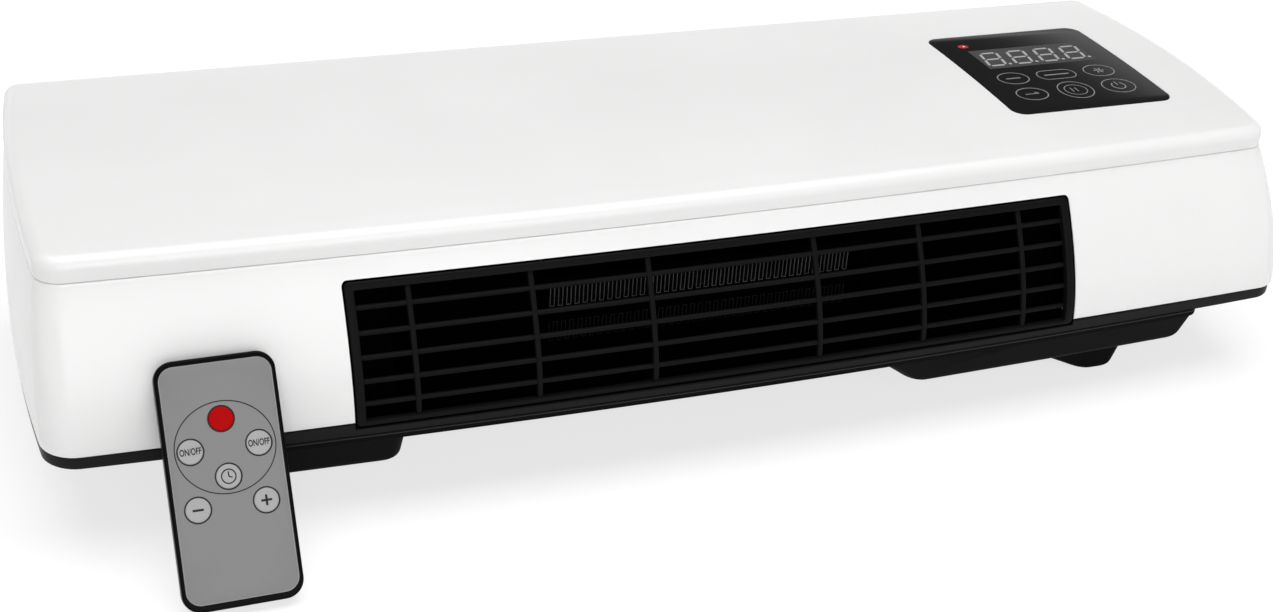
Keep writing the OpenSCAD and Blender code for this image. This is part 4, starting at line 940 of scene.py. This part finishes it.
digit_w, digit_h, slant, stroke = 7.4, 12.3, 0.16, 1.2
digit_pitch, dot = 12.35, 1.5
segments = [((0.08, 0), (0.92, 0)), ((0.08, 0.5), (0.92, 0.5)), ((0.08, 1), (0.92, 1)),
            ((0, 0.03), (0, 0.47)), ((1, 0.03), (1, 0.47)), ((0, 0.53), (0, 0.97)), ((1, 0.53), (1, 0.97))]
digit_faces = []
for k in range(4):
    x0, y0 = display_x - 23.4 + digit_pitch * k, display_y - digit_h / 2 - 0.4

    def digit_place(x, y, x0=x0, y0=y0):
        return on_glass(x0 + x * digit_w + y * digit_h * slant, y0 + y * digit_h, 0.04)

    for (ax, ay), (bx, by) in segments:
        level = ay == by
        tx, ty = stroke / 2 / digit_w, stroke / 2 / digit_h
        if level:
            sides = [(ax + tx, ay - ty), (bx - tx, by - ty), (bx, by), (bx - tx, by + ty), (ax + tx, ay + ty)]
        else:
            sides = [(ax + tx, ay + ty), (bx + tx, by - ty), (bx, by), (bx - tx, by - ty), (ax - tx, ay + ty)]
        digit_faces.append([digit_place(x, y) for x, y in [(ax, ay)] + sides])
    dot_x, dot_y = x0 + digit_w + 2.1, y0 + 0.5
    digit_faces += filled(oval(dot_x, dot_y, dot, dot, 16), lambda x, y: on_glass(x, y, 0.04), dot_x, dot_y)
add_piece("display_digits", sheet_mesh("display_digits", digit_faces), digit_grey)

led_x, led_y, glow_x = window_x - 23.5, window_y + 26.9, window_x - 23.2
lens = filled(oval(led_x, led_y, 4.6, 3.6), lambda x, y: on_glass(x, y, 0.03), led_x, led_y)
# Painted light: a near-white spot on the red lens.
glow = filled(oval(glow_x, led_y, 1.1, 1.0, 16), lambda x, y: on_glass(x, y, 0.05), glow_x, led_y)
add_piece("led_lens", sheet_mesh("led_lens", lens), led_red)
add_piece("led_glow", sheet_mesh("led_glow", glow), led_painted_light)

key_line = 0.43
left_x, middle_x, right_x = window_x - 19.7, window_x, window_x + 19.7
row_a, row_b = window_y - 7.3, window_y - 22.0
marks = []
for path in (oval(left_x, row_a, 13.2, 10.4), pill(middle_x, row_a, 17, 8),
             oval(right_x, row_a, 13.2, 10.4), oval(left_x, row_b, 13.2, 10.4),
             oval(middle_x, row_b, 14.5, 14.5), oval(right_x, row_b, 14, 12)):
    marks += line_faces(path, key_line, on_glass, closed=True)
marks += line_faces(oval(middle_x, row_b, 9.4, 8.6), 0.35, on_glass, closed=True)
marks += line_faces(oval(right_x, row_b, 5.6, 5.6, 24, 125, 415), 0.5, on_glass)
for cx, cy, line, width in ((right_x, row_b, ((0, 0.6), (0, 3.6)), 0.5),
                            (left_x, row_b, ((-3, 0), (3, 0)), 0.5),
                            (left_x, row_b, ((1.6, 1.2), (3, 0)), 0.5),
                            (middle_x, row_b, ((-1.6, -1.6), (-1.6, 1.8)), 0.45),
                            (middle_x, row_b, ((0.4, -1.6), (0.4, 1.8)), 0.45),
                            (left_x, row_a, ((-3.2, 0), (3.2, 0)), 0.7),
                            (middle_x, row_a, ((-5.6, 0), (5.6, 0)), 0.8)):
    marks += line_faces([(cx + x, cy + y) for x, y in line], width, on_glass)
for turn in (30, 90, 150, 210, 270, 330):
    a = math.radians(turn)
    blade = [(right_x + r * math.cos(a + twist), row_a + r * math.sin(a + twist))
             for r, twist in ((0.5, 0), (2.3, 0.5))]
    marks += line_faces(blade, 0.6, on_glass)
add_piece("touch_marks", sheet_mesh("touch_marks", marks), print_grey)


# ---- Remote ----
# Card remote that leans against the skirt: a black two-part case round a grey printed label, six
# domed rubber keys, and a coin cell in a tray that slides out of its lower end.

remote_x, remote_y, remote_tilt = -179.1, -175.8, math.radians(56.2)
remote_w, remote_h, remote_t = 37.5, 78.0, 6.5
remote_z = remote_t * math.cos(remote_tilt)
split = 2.8
label_ends = (0.9, 0.5)


def on_remote(x, y, z):
    c, s = math.cos(remote_tilt), math.sin(remote_tilt)
    return (remote_x + x, remote_y + y * c - z * s, remote_z + y * s + z * c)


def remote_solid(solid):
    points, faces = solid
    return [on_remote(*p) for p in points], faces


def card_ring(inset, z, ends=(0, 0)):
    """Outline of the remote, drawn in by an inset and by more at its lower and upper ends."""
    lower, upper = ends
    half = remote_w / 2 - inset
    return rounded_ring(-half, half, inset + lower, remote_h - inset - upper, 6 - inset, z, corner=10)


def key_holes():
    return [remote_solid(turned([(key_r + key_gap, -4), (key_r + key_gap, 2)], (x, y, 0)))
            for x, y in key_spots.values()]


key_spots = {"power": (0, 58.4), "left": (-10.5, 49.4), "right": (10.5, 49.4), "timer": (0, 40.4),
             "minus": (-10.5, 31.4), "plus": (10.5, 31.4)}
key_r, key_gap = 3.85, 0.15
remote_black = plastic("remote_black", (0.002, 0.002, 0.0021), 0.3, 0.5, level=0.06)
label_grey = plastic("label_grey", (0.238, 0.238, 0.24), 0.38, 0.5, level=0.3)
# Lighter grey for a line round the label's edge: a painted highlight where the edge catches light.
label_highlight = plastic("label_highlight", (0.31, 0.31, 0.312), 0.38, 0.5, level=0.3)
key_red = plastic("key_red", (0.45, 0.001, 0.0015), 0.5, 0.4, level=0.06)
key_grey = plastic("key_grey", (0.40, 0.40, 0.405), 0.35, 0.3, level=0.4)
ink_dark = plastic("ink_dark", (0.02, 0.02, 0.02), 0.5, 0.3, level=0.2)

back = [card_ring(inset, z) for inset, z in (
    (1.4, -remote_t), (0.7, -remote_t + 0.19), (0.19, -remote_t + 0.7), (0, -remote_t + 1.4),
    (0, -split - 0.12), (0.12, -split))]
tray_slot = block((-13, -1, -split - 2.7), (13, 27, -split + 1))
points, faces = turned([(1.5, remote_h - 5), (1.5, remote_h + 1)], (0, -split - 1.5, 0))
led_hole = ([(x, z, y) for x, y, z in points], faces)
back_mesh = carve(mesh_from("remote_back", [remote_solid(loft(back))]),
                  [remote_solid(tray_slot), remote_solid(led_hole)])
add_piece("remote_back_shell", back_mesh, remote_black, "remote", ["remote_back"])

rim = [card_ring(inset, z) for inset, z in (
    (0.12, -split), (0, -split + 0.12), (0, -0.9), (0.07, -0.5), (0.28, -0.2), (0.6, -0.04), (0.9, 0))]
rim += [card_ring(inset, z, label_ends) for inset, z in ((1.25, 0), (1.3, -0.06), (1.3, -0.4))]
rim += [card_ring(inset, z) for inset, z in ((2.6, -0.4), (2.6, -1.9), (2.2, -1.9), (2.2, -split))]
add_piece("remote_rim", mesh_from("remote_rim", [remote_solid(loft(rim, closed=True))]), remote_black,
          "remote", ["remote_front"])
plate = carve(mesh_from("remote_plate", [remote_solid(loft([card_ring(2.5, -1.9), card_ring(2.5, -0.4)]))]),
              key_holes())
add_piece("remote_plate", plate, remote_black, "remote", ["remote_front"])
label_rings = [card_ring(inset, z, label_ends) for inset, z in ((1.34, -0.4), (1.34, -0.04), (1.4, -0.01))]
label = carve(mesh_from("remote_label", [remote_solid(loft(label_rings))]), key_holes())
add_piece("remote_label_film", label, label_grey, "remote", ["remote_label"])
carry(["remote_led"], plastic("led_dark", (0.03, 0.01, 0.05), 0.1, 0.05))
carry(["battery_tray"], remote_black)
carry(["coin_cell"], metal("cell_steel", (0.62, 0.62, 0.61), 0.25))


def on_label(x, y, lift=0.02):
    return on_remote(x, y, lift)


ring_marks = line_faces(oval(0.2, 49.5, 31, 28.8, 72), 0.34, on_label, closed=True)
ring_d = 2 * key_r + 0.5
for x, y in key_spots.values():
    ring_marks += line_faces(oval(x, y, ring_d, ring_d), 0.32, lambda u, v: on_label(u, v, 0.03), closed=True)
add_piece("remote_rings", sheet_mesh("remote_rings", ring_marks), ink_dark, "remote")

# Painted highlight: a lighter line round the label's edge.
edge_path = [(x, y) for x, y, _ in card_ring(1.55, 0, label_ends)]
add_piece("remote_label_highlight", sheet_mesh("label_highlight", line_faces(edge_path, 0.25, on_label, closed=True)),
          label_highlight, "remote")


def dome_height(r):
    return 0.25 - 0.021 * r ** 2


along = [0.34 * i - 1.7 for i in range(11)]
narrow = 0.63
for name, (kx, ky) in key_spots.items():
    dome = [(r, dome_height(r)) for r in (0.01, 0.7, 1.4, 2.1, 2.8, 3.3, 3.6)]
    dome += [(3.78, -0.12), (key_r, -0.3), (key_r, -1.2), (0.01, -1.2)]
    body = "key_" + name + "_button"
    finish, slot = (key_red, "key_red") if name == "power" else (key_grey, "key_grey")
    add_piece("key_" + name + "_dome", mesh_from("key_" + name, [remote_solid(turned(dome, (kx, ky, 0)))]),
              finish, body, ["key_" + name])

    def on_key(x, y, kx=kx, ky=ky):
        return on_remote(x, y, dome_height(math.hypot(x - kx, y - ky)) + 0.03)

    sign = []
    if name in ("minus", "plus"):
        sign += line_faces([(kx + step, ky) for step in along], 0.7, on_key)
    if name == "plus":
        sign += line_faces([(kx, ky + step) for step in along], 0.7, on_key)
    if name == "timer":
        sign += line_faces(oval(kx, ky, 4.4, 4.4, 28), 0.4, on_key, closed=True)
        sign += line_faces([(kx, ky), (kx, ky + 1.5)], 0.4, on_key)
        sign += line_faces([(kx, ky), (kx + 1.1, ky - 0.5)], 0.4, on_key)
    if name in ("left", "right"):
        words = bpy.data.curves.new("on_off", "FONT")
        words.body = "ON/OFF"
        words.size = 2.9
        words.offset = 0.07
        words.align_x = words.align_y = "CENTER"
        text = bpy.data.objects.new("on_off", words)
        scene.collection.objects.link(text)
        bpy.context.view_layer.update()
        outline = bpy.data.meshes.new_from_object(
            text.evaluated_get(bpy.context.evaluated_depsgraph_get()))
        bpy.data.objects.remove(text)
        for vertex in outline.vertices:
            vertex.co = Vector(on_key(kx + vertex.co.x * narrow, ky + vertex.co.y)) * MM
        add_piece("key_" + name + "_sign", outline, ink_dark, body)
    elif sign:
        add_piece("key_" + name + "_sign", sheet_mesh("sign", sign), ink_dark, body)
